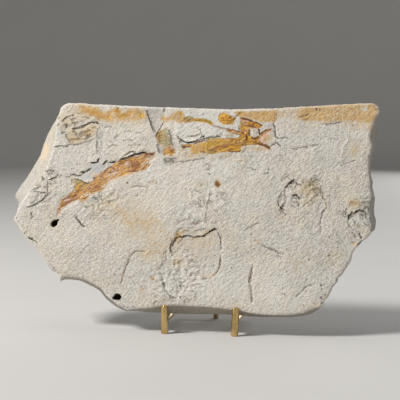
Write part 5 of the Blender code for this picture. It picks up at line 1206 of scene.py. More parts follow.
def face_relief(points, rim, depth):
    """Height of the front face above its plane. `rim` is each point's distance from the outline."""
    height = stepped(points, LEDGES)
    for cut, width, line in GROOVES:
        line = drawn(line)
        found = near(points, line, width * 4)
        distance, place = along(points[found], line)
        height[found] -= cut * MM * np.exp(-((distance / width) ** 2)) * fade(place)
    for centre, radii, turn, rise in MOUNDS:
        spread = turned_offset(points, centre, radii, turn)
        height += rise * MM * np.exp(-(spread**3))
    for rise, size, seed in FACE_SWELLS:
        height += rise * MM * rough(points, size, seed)
    height += wrinkles(points)
    height *= np.clip(rim / 6, 0, 1)
    height += grain(points, depth) * np.clip(rim / 2, 0.3, 1)
    for centre, radii, turn, rise in ROUGH_PLACES:
        weight = patch(points, centre, radii, turn)
        found = np.flatnonzero(weight > 0.02)
        lumps = rough(points[found], 3.4, 31) + 0.7 * rough(points[found], 1.8, 32)
        height[found] += rise * MM * weight[found] * lumps * 0.6
    height -= RIM_DROP * np.clip(1 - rim / RIM_WIDTH, 0, 1) ** 1.5
    for centre, radii, turn, cut in HOLES:
        spread = hole_spread(points, centre, radii, turn)
        height -= cut * MM * np.clip((1 - spread) / 0.3, 0, 1)
    return height


def back_relief(points, rim, depth):
    """Height of the back above its plane: long split steps and a coarse grain."""
    height = stepped(points, BACK_LEDGES)
    for rise, size, seed in BACK_SWELLS:
        height += rise * MM * rough(points, size, seed)
    height -= BACK_SINK
    height *= np.clip(rim / 8, 0, 1)
    flat = np.exp(-((np.hypot(*(points - np.array(REST_SPOT)).T) / REST_RADIUS) ** 6))
    height += (REST_HEIGHT - height) * flat
    lumps = rough(points, 6, 42) + 0.6 * rough(points, 9, 43, turn=15, stretch=3)
    return height + 1.4 * depth * lumps * (1 - flat)


# --- stains on the stone, with painted shade and highlights -------------------------------------

def blot(points, centre, radii, turn):
    return np.exp(-(turned_offset(points, centre, radii, turn) ** 2) * 1.1)


def stroke(points, line, width, keep=0.3):
    """A drawn line's cover: full on the line, none past its width, thinner at the ends."""
    cover = np.zeros(len(points))
    line = drawn(line)
    found = near(points, line, width * 2.5)
    distance, place = along(points[found], line)
    thin = width * STROKE_SHARE
    cover[found] = np.clip(1.35 - np.abs(distance) / thin, 0, 1) * (keep + (1 - keep) * fade(place, 0.12))
    return cover


def crack(points, line, width):
    """A dark line's cover, crack and painted shadow alike: soft across, so that noise can fray it, and
    thinner at the ends.
    """
    cover = np.zeros(len(points))
    line = drawn(line)
    found = near(points, line, width * 3)
    distance, place = along(points[found], line)
    cover[found] = np.exp(-((distance / (CRACK_AND_SHADOW_SHARE * width)) ** 2)) * (0.35 + 0.65 * fade(place, 0.15))
    return cover


def area(points, outline, softness):
    """1 inside an outline, 0 outside, with a soft edge."""
    cover = np.zeros(len(points))
    closed = tuple(outline) + (outline[0],)
    found = near(points, outline, softness)
    distance = np.abs(along(points[found], closed)[0])
    signed = np.where(inside(points[found], outline), distance, -distance)
    cover[found] = np.clip(0.5 + signed / (2 * softness), 0, 1)
    return cover


def beads():
    """Centres of the backbone's beads."""
    start, end = Vector(BEADS_START), Vector(BEADS_END)
    return [start.lerp(end, i / (BEAD_COUNT - 1)) for i in range(BEAD_COUNT)]


def dark_marks(points):
    """Strength and cover of each dark line and speck."""
    for strength, width, line in DARK_LINES:
        yield strength, crack(points, line, width)
    for name, strength, width, line in STROKES:
        if name == "ink":
            yield strength, crack(points, line, width)
    for strength, radius, centre in SPECKS:
        yield strength, blot(points, centre, (radius, radius), 0)


def stains(points):
    """How strongly each stain covers each point, as {stain: values from 0 to about 1}."""
    cover = {name: np.zeros(len(points)) for name in STAINS}
    for centre, radii, turn, _, rise in WRINKLED_PLACES:
        weight = rise * patch(points, centre, radii, turn)
        cover["crease"] = np.maximum(cover["crease"], weight)
    for name, strength, softness, outline in AREAS:
        cover[name] = np.maximum(cover[name], strength * area(points, outline, softness))
    for name, strength, centre, radii, turn in BLOTS:
        cover[name] = cover[name] + strength * blot(points, centre, radii, turn)
    for name, strength, width, line in STROKES:
        if name != "ink":
            cover[name] = np.maximum(cover[name], strength * stroke(points, line, width))
    for centre in beads():
        cover["rust"] = np.maximum(cover["rust"], 0.8 * blot(points, centre, (0.7, 1.5), 12))
    # Dark lines: real cracks, and painted shadow where the ledges drop away.
    for strength, found in dark_marks(points):
        cover["crack"] = np.maximum(cover["crack"], strength * np.clip(found * 3, 0, 1))
        cover["ink"] = np.maximum(cover["ink"], found)
    # Painted shade: the deep holes are filled black.
    for centre, radii, turn, _ in HOLES[:DARK_HOLES]:
        spread = hole_spread(points, centre, radii, turn)
        cover["pitch"] = np.maximum(cover["pitch"], np.clip((1.06 - spread) / 0.2, 0, 1))
    return cover


# --- the slab's mesh ----------------------------------------------------------------------------

def staggered(ring, step, seed):
    """Points about `step` apart in staggered rows, each nudged a little."""
    draw = np.random.default_rng(seed)
    low, high = ring.min(0), ring.max(0)
    rows = int((high[1] - low[1]) / (step * 0.87)) + 1
    columns = int((high[0] - low[0]) / step) + 2
    row, column = np.meshgrid(np.arange(rows), np.arange(columns), indexing="ij")
    points = np.column_stack([
        (low[0] + (column + row % 2 / 2) * step).ravel(),
        (low[1] + row * step * 0.87).ravel(),
    ])
    return points + draw.uniform(-0.22, 0.22, points.shape) * step


def tree_of(points):
    found = kdtree.KDTree(len(points))
    for i, (x, y) in enumerate(points):
        found.insert((x, y, 0.0), i)
    found.balance()
    return found


def distances(points, tree):
    return np.array([tree.find((x, y, 0.0))[2] for x, y in points.tolist()])


def rim_tree(ring):
    closed = np.vstack([ring, ring[:1]])
    return tree_of(np.array(walked([tuple(p) for p in closed], 0.35)))


def face_chains():
    """Chains of points that the face's triangles follow, so that every line is crisp."""
    chains = []
    for _, _, line in LEDGES:
        dense = walked(drawn(line), FINE_LINE_STEP)
        chains += [beside(dense, side * LEDGE_HALF_STEP) for side in (-1, 1)]
    for _, width, line in GROOVES:
        dense = walked(drawn(line), FINE_LINE_STEP)
        chains += [beside(dense, side * width) for side in (-1, 0, 1)]
    for _, width, line in DARK_LINES:
        dense = walked(drawn(line), FINE_LINE_STEP)
        chains += [beside(dense, side * width * 0.8) for side in (-1, 0, 1)]
    for _, _, _, line in STROKES:
        chains.append(walked(drawn(line), FINE_LINE_STEP))
    for centre, radii, turn, _ in HOLES:
        for size in (1.06, 0.98, 0.86, 0.7):
            rim = ellipse(centre, radii, turn, size, 22)
            chains.append(rim + rim[:1])
    return chains


def triangulated(ring, chains, step, seed):
    """Triangles within the ring. Returns grid points, triangles, rim distances and the ring's indices."""
    rim = rim_tree(ring)
    links = np.array([(a, b) for chain in chains for a, b in zip(chain, chain[1:])], float).reshape(-1, 2, 2)
    clear = np.ones(len(links), bool)
    for end in (0, 1):
        clear &= inside(links[:, end], ring) & (distances(links[:, end], rim) > 0.7)
    links = links[clear].reshape(-1, 2)
    spare = staggered(ring, step, seed)
    spare = spare[inside(spare, ring)]
    spare = spare[distances(spare, rim) > step * 0.45]
    if len(links):
        spare = spare[distances(spare, tree_of(links)) > 0.42 * step]
    points = np.vstack([ring, links, spare])
    edges = [(len(ring) + i, len(ring) + i + 1) for i in range(0, len(links), 2)]
    flat, _, faces, origins, _, _ = delaunay_2d_cdt(
        [Vector(p) for p in points.tolist()], edges, [list(range(len(ring)))], 1, 0.02
    )
    place = {original: i for i, originals in enumerate(origins) for original in originals}
    flat = np.array([tuple(p) for p in flat])
    return flat, faces, distances(flat, rim), [place[i] for i in range(len(ring))]


def side_layers(front_ring, back_ring):
    """Points of the broken side, a ring for each layer of the stone, in the slab's frame and on the grid."""
    front = on_face(front_ring, RIM_DROP)
    back = on_face(back_ring, SLAB_THICKNESS)
    middle = on_face([GRID_MIDDLE], 0.0)[0]
    outward = (front + back) / 2 - middle
    outward[:, 1] = 0.0
    outward /= np.linalg.norm(outward, axis=1)[:, None]
    layers, grid = [], []
    for layer in range(1, SIDE_LAYERS):
        share = layer / SIDE_LAYERS
        spots = front_ring * (1 - share) + back_ring * share
        stand = 0.35 * rough(spots, 26, 50 + layer // 2) + 0.25 * rough(spots, 6, 60 + layer)
        stand += 0.18 * rough(spots, 2.5, 80 + layer)
        swell = -0.7 * math.sin(math.pi * share)
        taper = min(1.0, 4 * share * (1 - share) + 0.2)
        layers.append(front * (1 - share) + back * share + outward * ((stand * taper + swell) * MM)[:, None])
        grid.append(spots)
    return layers, grid


def slab_mesh(settings):
    """The whole stone as one closed mesh, with its stains and the fish's grain as point attributes."""
    front_ring, back_ring = resampled(outline_pairs(), RING_STEP)
    face, face_faces, face_rim, face_edge = triangulated(front_ring, face_chains(), FACE_STEP, 20)
    steps = [beside(walked(line, 4), side) for _, _, line in BACK_LEDGES for side in (-0.5, 0.5)]
    rear, rear_faces, rear_rim, rear_edge = triangulated(back_ring, steps, BACK_STEP, 21)

    front = on_face(face, 0.0)
    front[:, 1] -= face_relief(face, face_rim, settings.grain_depth)
    back = on_face(rear, SLAB_THICKNESS)
    back[:, 1] += back_relief(rear, rear_rim, settings.grain_depth)
    layers, layer_grid = side_layers(front_ring, back_ring)

    count = len(front_ring)
    rear_start = len(face) + count * len(layers)
    rings = [np.array(face_edge)]
    rings += [len(face) + count * i + np.arange(count) for i in range(len(layers))]
    rings.append(rear_start + np.array(rear_edge))
    faces = [tuple(f) for f in face_faces]
    faces += [tuple(rear_start + i for i in reversed(f)) for f in rear_faces]
    for outer, inner in zip(rings, rings[1:]):
        for a, b, c, d in zip(outer, np.roll(outer, -1), np.roll(inner, -1), inner):
            faces.append((int(a), int(b), int(c), int(d)))

    data = bpy.data.meshes.new("slab")
    points = np.vstack([front, *layers, back])
    data.from_pydata(points.tolist(), [], faces)
    data.transform(slab_placement())
    index = np.ones(len(faces), np.int32)
    index[:len(face_faces)] = 0
    data.polygons.foreach_set("material_index", index)

    grid = np.vstack([face, *layer_grid, rear + 1000])
    cover = stains(grid)
    for name, values in cover.items():
        data.attributes.new(name, "FLOAT", "POINT").data.foreach_set("value", np.clip(values, 0, 1.3))
    distance, place = along(grid, BACKBONE)
    run = place * sum(math.dist(a, b) for a, b in zip(BACKBONE, BACKBONE[1:]))
    for name, values in (("fish_run", run), ("fish_side", np.clip(distance, -30, 30))):
        data.attributes.new(name, "FLOAT", "POINT").data.foreach_set("value", values)
    # Pale band along the face's rim: partly paler broken stone, partly a painted highlight on the rounded
    # edge.
    broken = np.concatenate([np.clip(1 - face_rim / 2.5, 0, 1), np.ones(len(grid) - len(face))])
    data.attributes.new("broken", "FLOAT", "POINT").data.foreach_set("value", broken)
    return data


# --- node helpers -------------------------------------------------------------------------------

def add_node(tree, kind, inputs=None, **settings):
    """A node with its settings, and each input either set or linked."""
    node = tree.nodes.new(kind)
    for name, value in settings.items():
        setattr(node, name, value)
    for key, value in (inputs or {}).items():
        if isinstance(value, bpy.types.NodeSocket):
            tree.links.new(value, node.inputs[key])
        else:
            node.inputs[key].default_value = value
    return node


def maths(tree, operation, first, second=0.0, clamp=False):
    node = add_node(tree, "ShaderNodeMath", {0: first, 1: second}, operation=operation, use_clamp=clamp)
    return node.outputs[0]


def times(tree, first, second, clamp=False):
    return maths(tree, "MULTIPLY", first, second, clamp)


def plus(tree, first, second):
    return maths(tree, "ADD", first, second)


def minus(tree, first, second):
    return maths(tree, "SUBTRACT", first, second)


def weighted(tree, *terms):
    """The sum of (value, weight) terms."""
    total = times(tree, *terms[0])
    for term in terms[1:]:
        total = plus(tree, total, times(tree, *term))
    return total


def colour_mix(tree, factor, first, second):
    inputs = {0: factor, 6: opaque(first), 7: opaque(second)}
    return add_node(tree, "ShaderNodeMix", inputs, data_type="RGBA").outputs[2]


def tinted(tree, colour, tint, cover, strength=1.0):
    """The colour with a tint laid over it, as far as the cover times the strength."""
    return colour_mix(tree, times(tree, cover, strength), colour, tint)


def scaled(tree, colour, factor):
    return add_node(tree, "ShaderNodeVectorMath", {0: colour, 3: factor}, operation="SCALE").outputs[0]


def opaque(colour):
    """A colour as a socket takes it. Sockets pass through."""
    return colour if isinstance(colour, bpy.types.NodeSocket) else (*colour, 1.0)


def ranged(tree, value, low, high, to_low=0.0, to_high=1.0):
    inputs = {0: value, 1: low, 2: high, 3: to_low, 4: to_high}
    return add_node(tree, "ShaderNodeMapRange", inputs, interpolation_type="SMOOTHSTEP").outputs[0]


def noise_value(tree, place, size, detail=3.0, roughness=0.55, distortion=0.0):
    """Noise around 0.5 with lumps about `size` metres across."""
    inputs = {"Vector": place, "Scale": 1 / size, "Detail": detail, "Roughness": roughness,
              "Distortion": distortion}
    return add_node(tree, "ShaderNodeTexNoise", inputs).outputs["Fac"]


def full_noise(tree, place, size, detail=3.0, roughness=0.6):
    """Noise stretched to reach from 0 to 1."""
    inputs = {0: noise_value(tree, place, size, detail, roughness), 1: 0.33, 2: 0.67}
    return add_node(tree, "ShaderNodeMapRange", inputs, clamp=True).outputs[0]


def drawn_out(tree, place, turn, stretch):
    """Coordinates turned about the slab's face and drawn out along the turned direction."""
    inputs = {0: place, 2: (0.0, -math.radians(turn), 0.0), 3: (stretch, 1.0, 1.0)}
    return add_node(tree, "ShaderNodeMapping", inputs, vector_type="TEXTURE").outputs[0]


def colour_ramp(tree, value, stops):
    """A colour ramp with the given (position, colour) stops."""
    node = add_node(tree, "ShaderNodeValToRGB", {0: value})
    ramp = node.color_ramp
    while len(ramp.elements) < len(stops):
        ramp.elements.new(0.5)
    for element, (position, colour) in zip(ramp.elements, stops):
        element.position = position
        element.color = (*colour, 1.0)
    return node.outputs[0]


def attribute(tree, name):
    return add_node(tree, "ShaderNodeAttribute", attribute_name=name).outputs["Fac"]


def object_place(tree):
    return add_node(tree, "ShaderNodeTexCoord").outputs["Object"]


def shader_group(name, inputs, outputs):
    """An empty shader group with float or vector sockets. Returns tree, its inputs, its output node."""
    tree = bpy.data.node_groups.new(name, "ShaderNodeTree")
    for socket, kind, default in inputs:
        made = tree.interface.new_socket(socket, in_out="INPUT", socket_type=kind)
        if default is not None:
            made.default_value = default
    for socket, kind in outputs:
        tree.interface.new_socket(socket, in_out="OUTPUT", socket_type=kind)
    return tree, tree.nodes.new("NodeGroupInput").outputs, tree.nodes.new("NodeGroupOutput")


def use_group(tree, group, inputs):
    return add_node(tree, "ShaderNodeGroup", inputs, node_tree=group).outputs


FLOAT, VECTOR = "NodeSocketFloat", "NodeSocketVector"


# --- shared shader groups -----------------------------------------------------------------------

# Noises: size of the lumps in metres, detail, roughness and, where there is one, distortion.
WARM_NOISE = (0.045, 4.0, 0.6)
COOL_NOISE = (0.017, 5.0, 0.62, 0.6)
LILAC_NOISE = (0.022, 5.0, 0.62, 0.6)
MOTTLE_NOISE = (0.0075, 3.0)
GRAIN_NOISE = (0.0017, 1.0, 0.5)
STROKE_NOISE = (0.0018, 1.0, 0.5)
LUMP_NOISE = (0.0042, 3.0)
CALM_NOISE = (0.013, 4.0, 0.65)
STREAK_NOISE = (0.0019, 3.0, 0.65)
FLECK_NOISE = (0.0023, 4.0, 0.68)
CLUMP_NOISE = (0.0060, 3.0, 0.6)
CREASE_NOISE = (0.0055, 4.0, 0.62, 0.9)
CREASED_PLACE_NOISE = (0.012, 3.0, 0.6)
BROAD_STAIN_NOISE = (0.0065, 5.0, 0.7)
FINE_STAIN_NOISE = (0.0017, 3.0, 0.65)
FRAYED_NOISE = (0.0019, 3.0, 0.75)
LAYER_NOISE = (0.0026, 3.0, 0.6)
PEACH_NOISE = (0.010, 4.0, 0.6)
CLOUD_NOISE = (0.012, 4.0, 0.6)
SPOT_NOISE = (0.0021, 3.0, 0.6)
TURNED_NOISE = (0.0012, 3.0, 0.7)
FLOOR_NOISE = (0.25, 3.0)
PIT_SPACING = 0.0055
STROKE_TURN = 38.0
STROKE_STRETCH = 3.0
RUN_SCALE = 0.20 * MM  # metres of noise for each grid square along the fish
SIDE_SCALE = 1.0 * MM  # and across it
LAYER_STRETCH = (14.0, 1.0, 14.0)

def line_group():
    """Frays a drawn line's soft cover, so that it thins, thickens and breaks."""
    tree, given, out = shader_group(
        "Broken line", [("Cover", FLOAT, 0.0), ("Breakup", FLOAT, 0.5)], [("Mask", FLOAT)],
    )
    limit = ranged(tree, given["Breakup"], 0.0, 1.0, 0.0, 1.08)
    above = minus(tree, given["Cover"], limit)
    tree.links.new(ranged(tree, above, -0.10, 0.12), out.inputs["Mask"])
    return tree


def ragged_stain_group():
    """Turns a drawn cover into a stain with a ragged, mottled edge."""
    tree, given, out = shader_group(
        "Ragged stain",
        [("Cover", FLOAT, 0.0), ("Breakup", FLOAT, 0.5), ("Ragged", FLOAT, 0.5), ("Edge", FLOAT, 0.2)],
        [("Mask", FLOAT)],
    )
    centred = minus(tree, given["Breakup"], 0.5)
    moved = times(tree, centred, given["Ragged"])
    pushed = plus(tree, given["Cover"], moved)
    low = minus(tree, 0.5, given["Edge"])
    high = plus(tree, 0.5, given["Edge"])
    mask = ranged(tree, pushed, low, high)
    some = ranged(tree, given["Cover"], 0.0, 0.12)
    tree.links.new(times(tree, mask, some), out.inputs["Mask"])
    return tree


def stone_grain_group():
    """Tints, tone and height of split limestone: broad tints, mottling, grains, strokes and small pits."""
    tree, given, out = shader_group(
        "Stone grain",
        [("Vector", VECTOR, None), ("Coarse", FLOAT, 0.5)],
        [(name, FLOAT) for name in ("Warm", "Cool", "Lilac", "Tone", "Pit", "Height")],
    )
    place = given["Vector"]
    warm = ranged(tree, noise_value(tree, place, *WARM_NOISE), 0.44, 0.62)
    cool = ranged(tree, noise_value(tree, place, *COOL_NOISE), 0.47, 0.64)
    moved = add_node(tree, "ShaderNodeMapping", {0: place, 1: (0.31, 0.17, 0.53)}).outputs[0]
    lilac = ranged(tree, noise_value(tree, moved, *LILAC_NOISE), 0.47, 0.64)
    mottle = full_noise(tree, place, *MOTTLE_NOISE)
    fine = full_noise(tree, place, *GRAIN_NOISE)
    strokes = full_noise(tree, drawn_out(tree, place, STROKE_TURN, STROKE_STRETCH), *STROKE_NOISE)
    lumps = full_noise(tree, place, *LUMP_NOISE)
    inputs = {"Vector": place, "Scale": 1 / PIT_SPACING, "Randomness": 1.0}
    pits = add_node(tree, "ShaderNodeTexVoronoi", inputs)
    chosen = add_node(tree, "ShaderNodeSeparateColor", {0: pits.outputs["Color"]}).outputs[0]
    pit = minus(tree, 1.0, ranged(tree, pits.outputs["Distance"], 0.06, 0.20))
    pit = times(tree, pit, ranged(tree, chosen, 0.62, 0.90))
    tone = weighted(tree, (mottle, 0.10), (fine, 1.0), (strokes, 0.15))
    height = weighted(tree, (fine, 0.14), (strokes, 0.13), (lumps, given["Coarse"]))
    calm = ranged(tree, noise_value(tree, moved, *CALM_NOISE), 0.40, 0.62, 0.75, 1.10)
    height = times(tree, height, calm)
    height = minus(tree, height, times(tree, pit, 0.6))
    for socket, value in zip(out.inputs, (warm, cool, lilac, tone, pit, height)):
        tree.links.new(value, socket)
    return tree


def metal_wear_group():
    """Handling marks on metal: dull clouds, fine turning lines round the rod, and small spots."""
    tree, given, out = shader_group(
        "Metal wear",
        [("Vector", VECTOR, None), ("Lines", VECTOR, None)],
        [("Cloud", FLOAT), ("Spots", FLOAT), ("Height", FLOAT)],
    )
    cloud = ranged(tree, noise_value(tree, given["Vector"], *CLOUD_NOISE), 0.38, 0.68)
    spots = ranged(tree, noise_value(tree, given["Vector"], *SPOT_NOISE), 0.60, 0.74)
    lines = noise_value(tree, given["Lines"], *TURNED_NOISE)
    for socket, value in (("Cloud", cloud), ("Spots", spots), ("Height", lines)):
        tree.links.new(value, out.inputs[socket])
    return tree


def shared_group(name, build):
    """The group of that name, built once."""
    return bpy.data.node_groups.get(name) or build()


# --- materials ----------------------------------------------------------------------------------

def new_material(name):
    material = bpy.data.materials.new(name)
    material.use_nodes = True
    tree = material.node_tree
    return material, tree, tree.nodes["Principled BSDF"]


# Tints of the bare stone and how strong each is. The pits' dark tint is painted shade in the small hollows.
STONE_TINTS = (("Warm", 0.7), ("Cool", 0.30), ("Lilac", 0.36), ("Pit", 0.5))
DARKEST_GRAIN = 0.79
BRIGHTEST_GRAIN = 1.16
# Coarseness of the stone's grain.
FACE_COARSENESS = 0.06
BREAK_COARSENESS = 0.55
# Layers of stain on the face, from the lowest: stain, the noise that breaks it up (or none), how ragged
# it is, how soft its edge is, strength.
FACE_STAINS = (
    ("tan", "broad", 0.8, 0.55, 1.0), ("ash", "broad", 0.7, 0.5, 1.0), ("bloom", None, 0.0, 0.0, 1.0),
    ("gold", "breakup", 1.1, 0.45, 1.0), ("ochre", "breakup", 0.8, 0.36, 1.0),
    ("mustard", "breakup", 0.8, 0.40, 1.0), ("moss", "flecks", 0.8, 0.5, 0.9),
    ("clay", "fine", 0.8, 0.45, 0.8), ("rose", "fine", 1.1, 0.32, 0.75), ("rust", "fine", 0.7, 0.30, 0.86),
    # The chalk layer is partly painted highlight on lit lips; the broken layer paints a pale band along the
    # rounded rim, partly as highlight.
    ("chalk", "fine", 0.9, 0.45, 0.75), ("broken", None, 0.0, 0.0, 0.25),
)


def bare_stone(tree, settings, place, coarse):
    """Colour and height of the bare limestone."""
    grain_group = shared_group("Stone grain", stone_grain_group)
    stone = use_group(tree, grain_group, {"Vector": place, "Coarse": coarse})
    colour = settings.stone
    for name, strength in STONE_TINTS:
        colour = tinted(tree, colour, getattr(settings, "stone_" + name.lower()), stone[name], strength)
    inputs = {0: stone["Tone"], 1: 0.1, 2: 0.9, 3: DARKEST_GRAIN, 4: BRIGHTEST_GRAIN}
    shade = add_node(tree, "ShaderNodeMapRange", inputs).outputs[0]
    return scaled(tree, colour, shade), stone["Height"]


def stain_mask(tree, name, breakup, ragged, edge):
    """A stain's cover on the stone, broken up by a noise. Without one the cover stays as drawn."""
    cover = attribute(tree, name)
    if breakup is None:
        return cover
    group = shared_group("Ragged stain", ragged_stain_group)
    inputs = {"Cover": cover, "Breakup": breakup, "Ragged": ragged, "Edge": edge}
    return use_group(tree, group, inputs)["Mask"]


def finish_shader(tree, shader, colour, roughness, height, strength, distance):
    """Link a colour and a roughness, and a height by way of a bump."""
    tree.links.new(colour, shader.inputs["Base Color"])
    tree.links.new(roughness, shader.inputs["Roughness"])
    bump = add_node(tree, "ShaderNodeBump", {"Strength": strength, "Distance": distance, "Height": height})
    tree.links.new(bump.outputs[0], shader.inputs["Normal"])


def fish_breakup(tree, place):
    """Mixed noise for the fish's ragged edge, and its two parts: streaks along the fish, and flecks."""
    run = times(tree, attribute(tree, "fish_run"), RUN_SCALE)
    side = times(tree, attribute(tree, "fish_side"), SIDE_SCALE)
    flow = add_node(tree, "ShaderNodeCombineXYZ", {0: run, 1: side}).outputs[0]
    streaks = full_noise(tree, flow, *STREAK_NOISE)
    flecks = full_noise(tree, place, *FLECK_NOISE)
    clumps = full_noise(tree, place, *CLUMP_NOISE)
    return weighted(tree, (streaks, 0.30), (flecks, 0.42), (clumps, 0.28)), streaks, flecks


def crease_mask(tree, place):
    """Thin crooked creases where the face is wrinkled, and a few elsewhere."""
    away = maths(tree, "ABSOLUTE", minus(tree, noise_value(tree, place, *CREASE_NOISE), 0.5))
    thin = minus(tree, 1.0, ranged(tree, away, 0.004, 0.030))
    here = ranged(tree, noise_value(tree, place, *CREASED_PLACE_NOISE), 0.50, 0.66)
    wanted = plus(tree, times(tree, attribute(tree, "crease"), 1.5), 0.16)
    amount = times(tree, here, wanted)
    return times(tree, thin, amount, clamp=True)


def limestone_face(settings):
    """The front face: bare stone under soft stains, the fish's ochre and rust, chalk, clay and dark lines,
    with painted highlights on lips and rim, painted shadow along the ledges, and painted shade in creases,
    pits and holes.
    """
    material, tree, shader = new_material("limestone face")
    place = object_place(tree)
    colour, height = bare_stone(tree, settings, place, FACE_COARSENESS)
    breakup, streaks, flecks = fish_breakup(tree, place)
    broad = full_noise(tree, place, *BROAD_STAIN_NOISE)
    fine = full_noise(tree, place, *FINE_STAIN_NOISE)
    noises = {"breakup": breakup, "flecks": flecks, "broad": broad, "fine": fine, None: None}
    tone = weighted(tree, (streaks, 0.72), (flecks, 0.28))
    tones = {
        "gold": colour_mix(tree, flecks, settings.gold_deep, settings.gold),
        "ochre": colour_ramp(tree, tone, (
            (0.16, settings.ochre_deep), (0.38, settings.ochre), (0.58, settings.ochre_bright),
            (0.84, settings.ochre_pale),
        )),
        "mustard": colour_mix(tree, tone, settings.mustard_deep, settings.mustard),
        "rust": colour_mix(tree, fine, settings.rust_deep, settings.rust),
        "bloom": settings.chalk,
        "broken": settings.chalk,
    }
    masks = {}
    for name, noise_name, ragged, edge, strength in FACE_STAINS:
        masks[name] = stain_mask(tree, name, noises[noise_name], ragged, edge)
        tint = tones[name] if name in tones else getattr(settings, name)
        colour = tinted(tree, colour, tint, masks[name], strength)
    ochre = masks["ochre"]
    creases = crease_mask(tree, place)
    # Painted shade: the creases are darkened brown.
    colour = tinted(tree, colour, settings.crease_and_line_shade, creases, 0.5)
    crack_and_shadow_strength = attribute(tree, "crack")
    line = shared_group("Broken line", line_group)
    frayed = full_noise(tree, place, *FRAYED_NOISE)
    ink = use_group(tree, line, {"Cover": attribute(tree, "ink"), "Breakup": frayed})["Mask"]
    soiled = times(tree, attribute(tree, "ink"), crack_and_shadow_strength, clamp=True)
    colour = tinted(tree, colour, settings.soil, soiled, 0.35)
    # Dark lines, partly real cracks and bone edges, partly painted shadow under the ledges, darkened towards
    # black.
    depth = times(tree, ink, times(tree, crack_and_shadow_strength, 1.05), clamp=True)
    faint = colour_mix(tree, ochre, settings.crease_and_line_shade, settings.rust_deep)
    black = colour_mix(tree, ochre, BLACK, BONE_BLACK)
    colour = tinted(tree, colour, colour_mix(tree, depth, faint, black), depth, 0.96)
    # Painted shade: the holes are filled black.
    colour = tinted(tree, colour, BLACK, attribute(tree, "pitch"))
    bone = times(tree, times(tree, tone, ochre), 0.5)
    raised = minus(tree, plus(tree, height, bone), weighted(tree, (depth, 0.9), (creases, 0.35)))
    roughness = ranged(tree, ochre, 0.0, 1.0, 0.86, 0.68)
    finish_shader(tree, shader, colour, roughness, raised, strength=1.0, distance=1.5 * MM)
    shader.inputs["Specular IOR Level"].default_value = 0.28
    return material


def limestone_break(settings):
    """The broken sides and the back: darker, layered stone with a little peach stain."""
    material, tree, shader = new_material("limestone break")
    place = object_place(tree)
    colour, height = bare_stone(tree, settings, place, BREAK_COARSENESS)
    inputs = {0: place, 2: (-SLAB_LEAN, 0.0, 0.0), 3: LAYER_STRETCH}
    bedding = add_node(tree, "ShaderNodeMapping", inputs, vector_type="TEXTURE")
    layers = full_noise(tree, bedding.outputs[0], *LAYER_NOISE)
    colour = tinted(tree, scaled(tree, colour, 0.74), settings.tan, ranged(tree, layers, 0.5, 1.0), 0.35)
    peach = stain_mask(tree, "ochre", full_noise(tree, place, *PEACH_NOISE), 0.5, 0.5)
    colour = tinted(tree, colour, settings.peach, peach, 0.62)
    roughness = ranged(tree, layers, 0.3, 0.7, 0.82, 0.94)
    raised = plus(tree, height, times(tree, layers, 0.8))
    finish_shader(tree, shader, colour, roughness, raised, strength=0.9, distance=0.6 * MM)
    shader.inputs["Specular IOR Level"].default_value = 0.25
    return material


def brass_material(name, settings, dull, line_scale):
    """Polished brass with dull clouds, small tarnish spots and fine lines round the rod."""
    material, tree, shader = new_material(name)
    place = object_place(tree)
    lines = add_node(tree, "ShaderNodeMapping", {0: place, 3: line_scale}).outputs[0]
    wear = use_group(tree, shared_group("Metal wear", metal_wear_group), {"Vector": place, "Lines": lines})
    colour = tinted(tree, settings.brass, settings.brass_dull, wear["Cloud"])
    colour = tinted(tree, colour, settings.tarnish, wear["Spots"], 0.5)
    roughness = plus(tree, weighted(tree, (wear["Cloud"], 0.10), (wear["Spots"], 0.15)), dull)
    finish_shader(tree, shader, colour, roughness, wear["Height"], strength=0.18, distance=0.05 * MM)
    shader.inputs["Metallic"].default_value = 1.0
    return material


def floor_material(settings):
    material, tree, shader = new_material("studio floor")
    place = object_place(tree)
    cloud = noise_value(tree, place, *FLOOR_NOISE)
    darker = tuple(0.94 * value for value in settings.floor)
    tree.links.new(colour_mix(tree, cloud, settings.floor, darker), shader.inputs["Base Color"])
    shader.inputs["Roughness"].default_value = 0.75
    shader.inputs["Specular IOR Level"].default_value = 0.2
    return material


# --- settings -----------------------------------------------------------------------------------

def colour_property(name, description, default):
    return FloatVectorProperty(
        name=name, description=description, subtype="COLOR", size=3, min=0.0, max=1.0, default=default,
    )


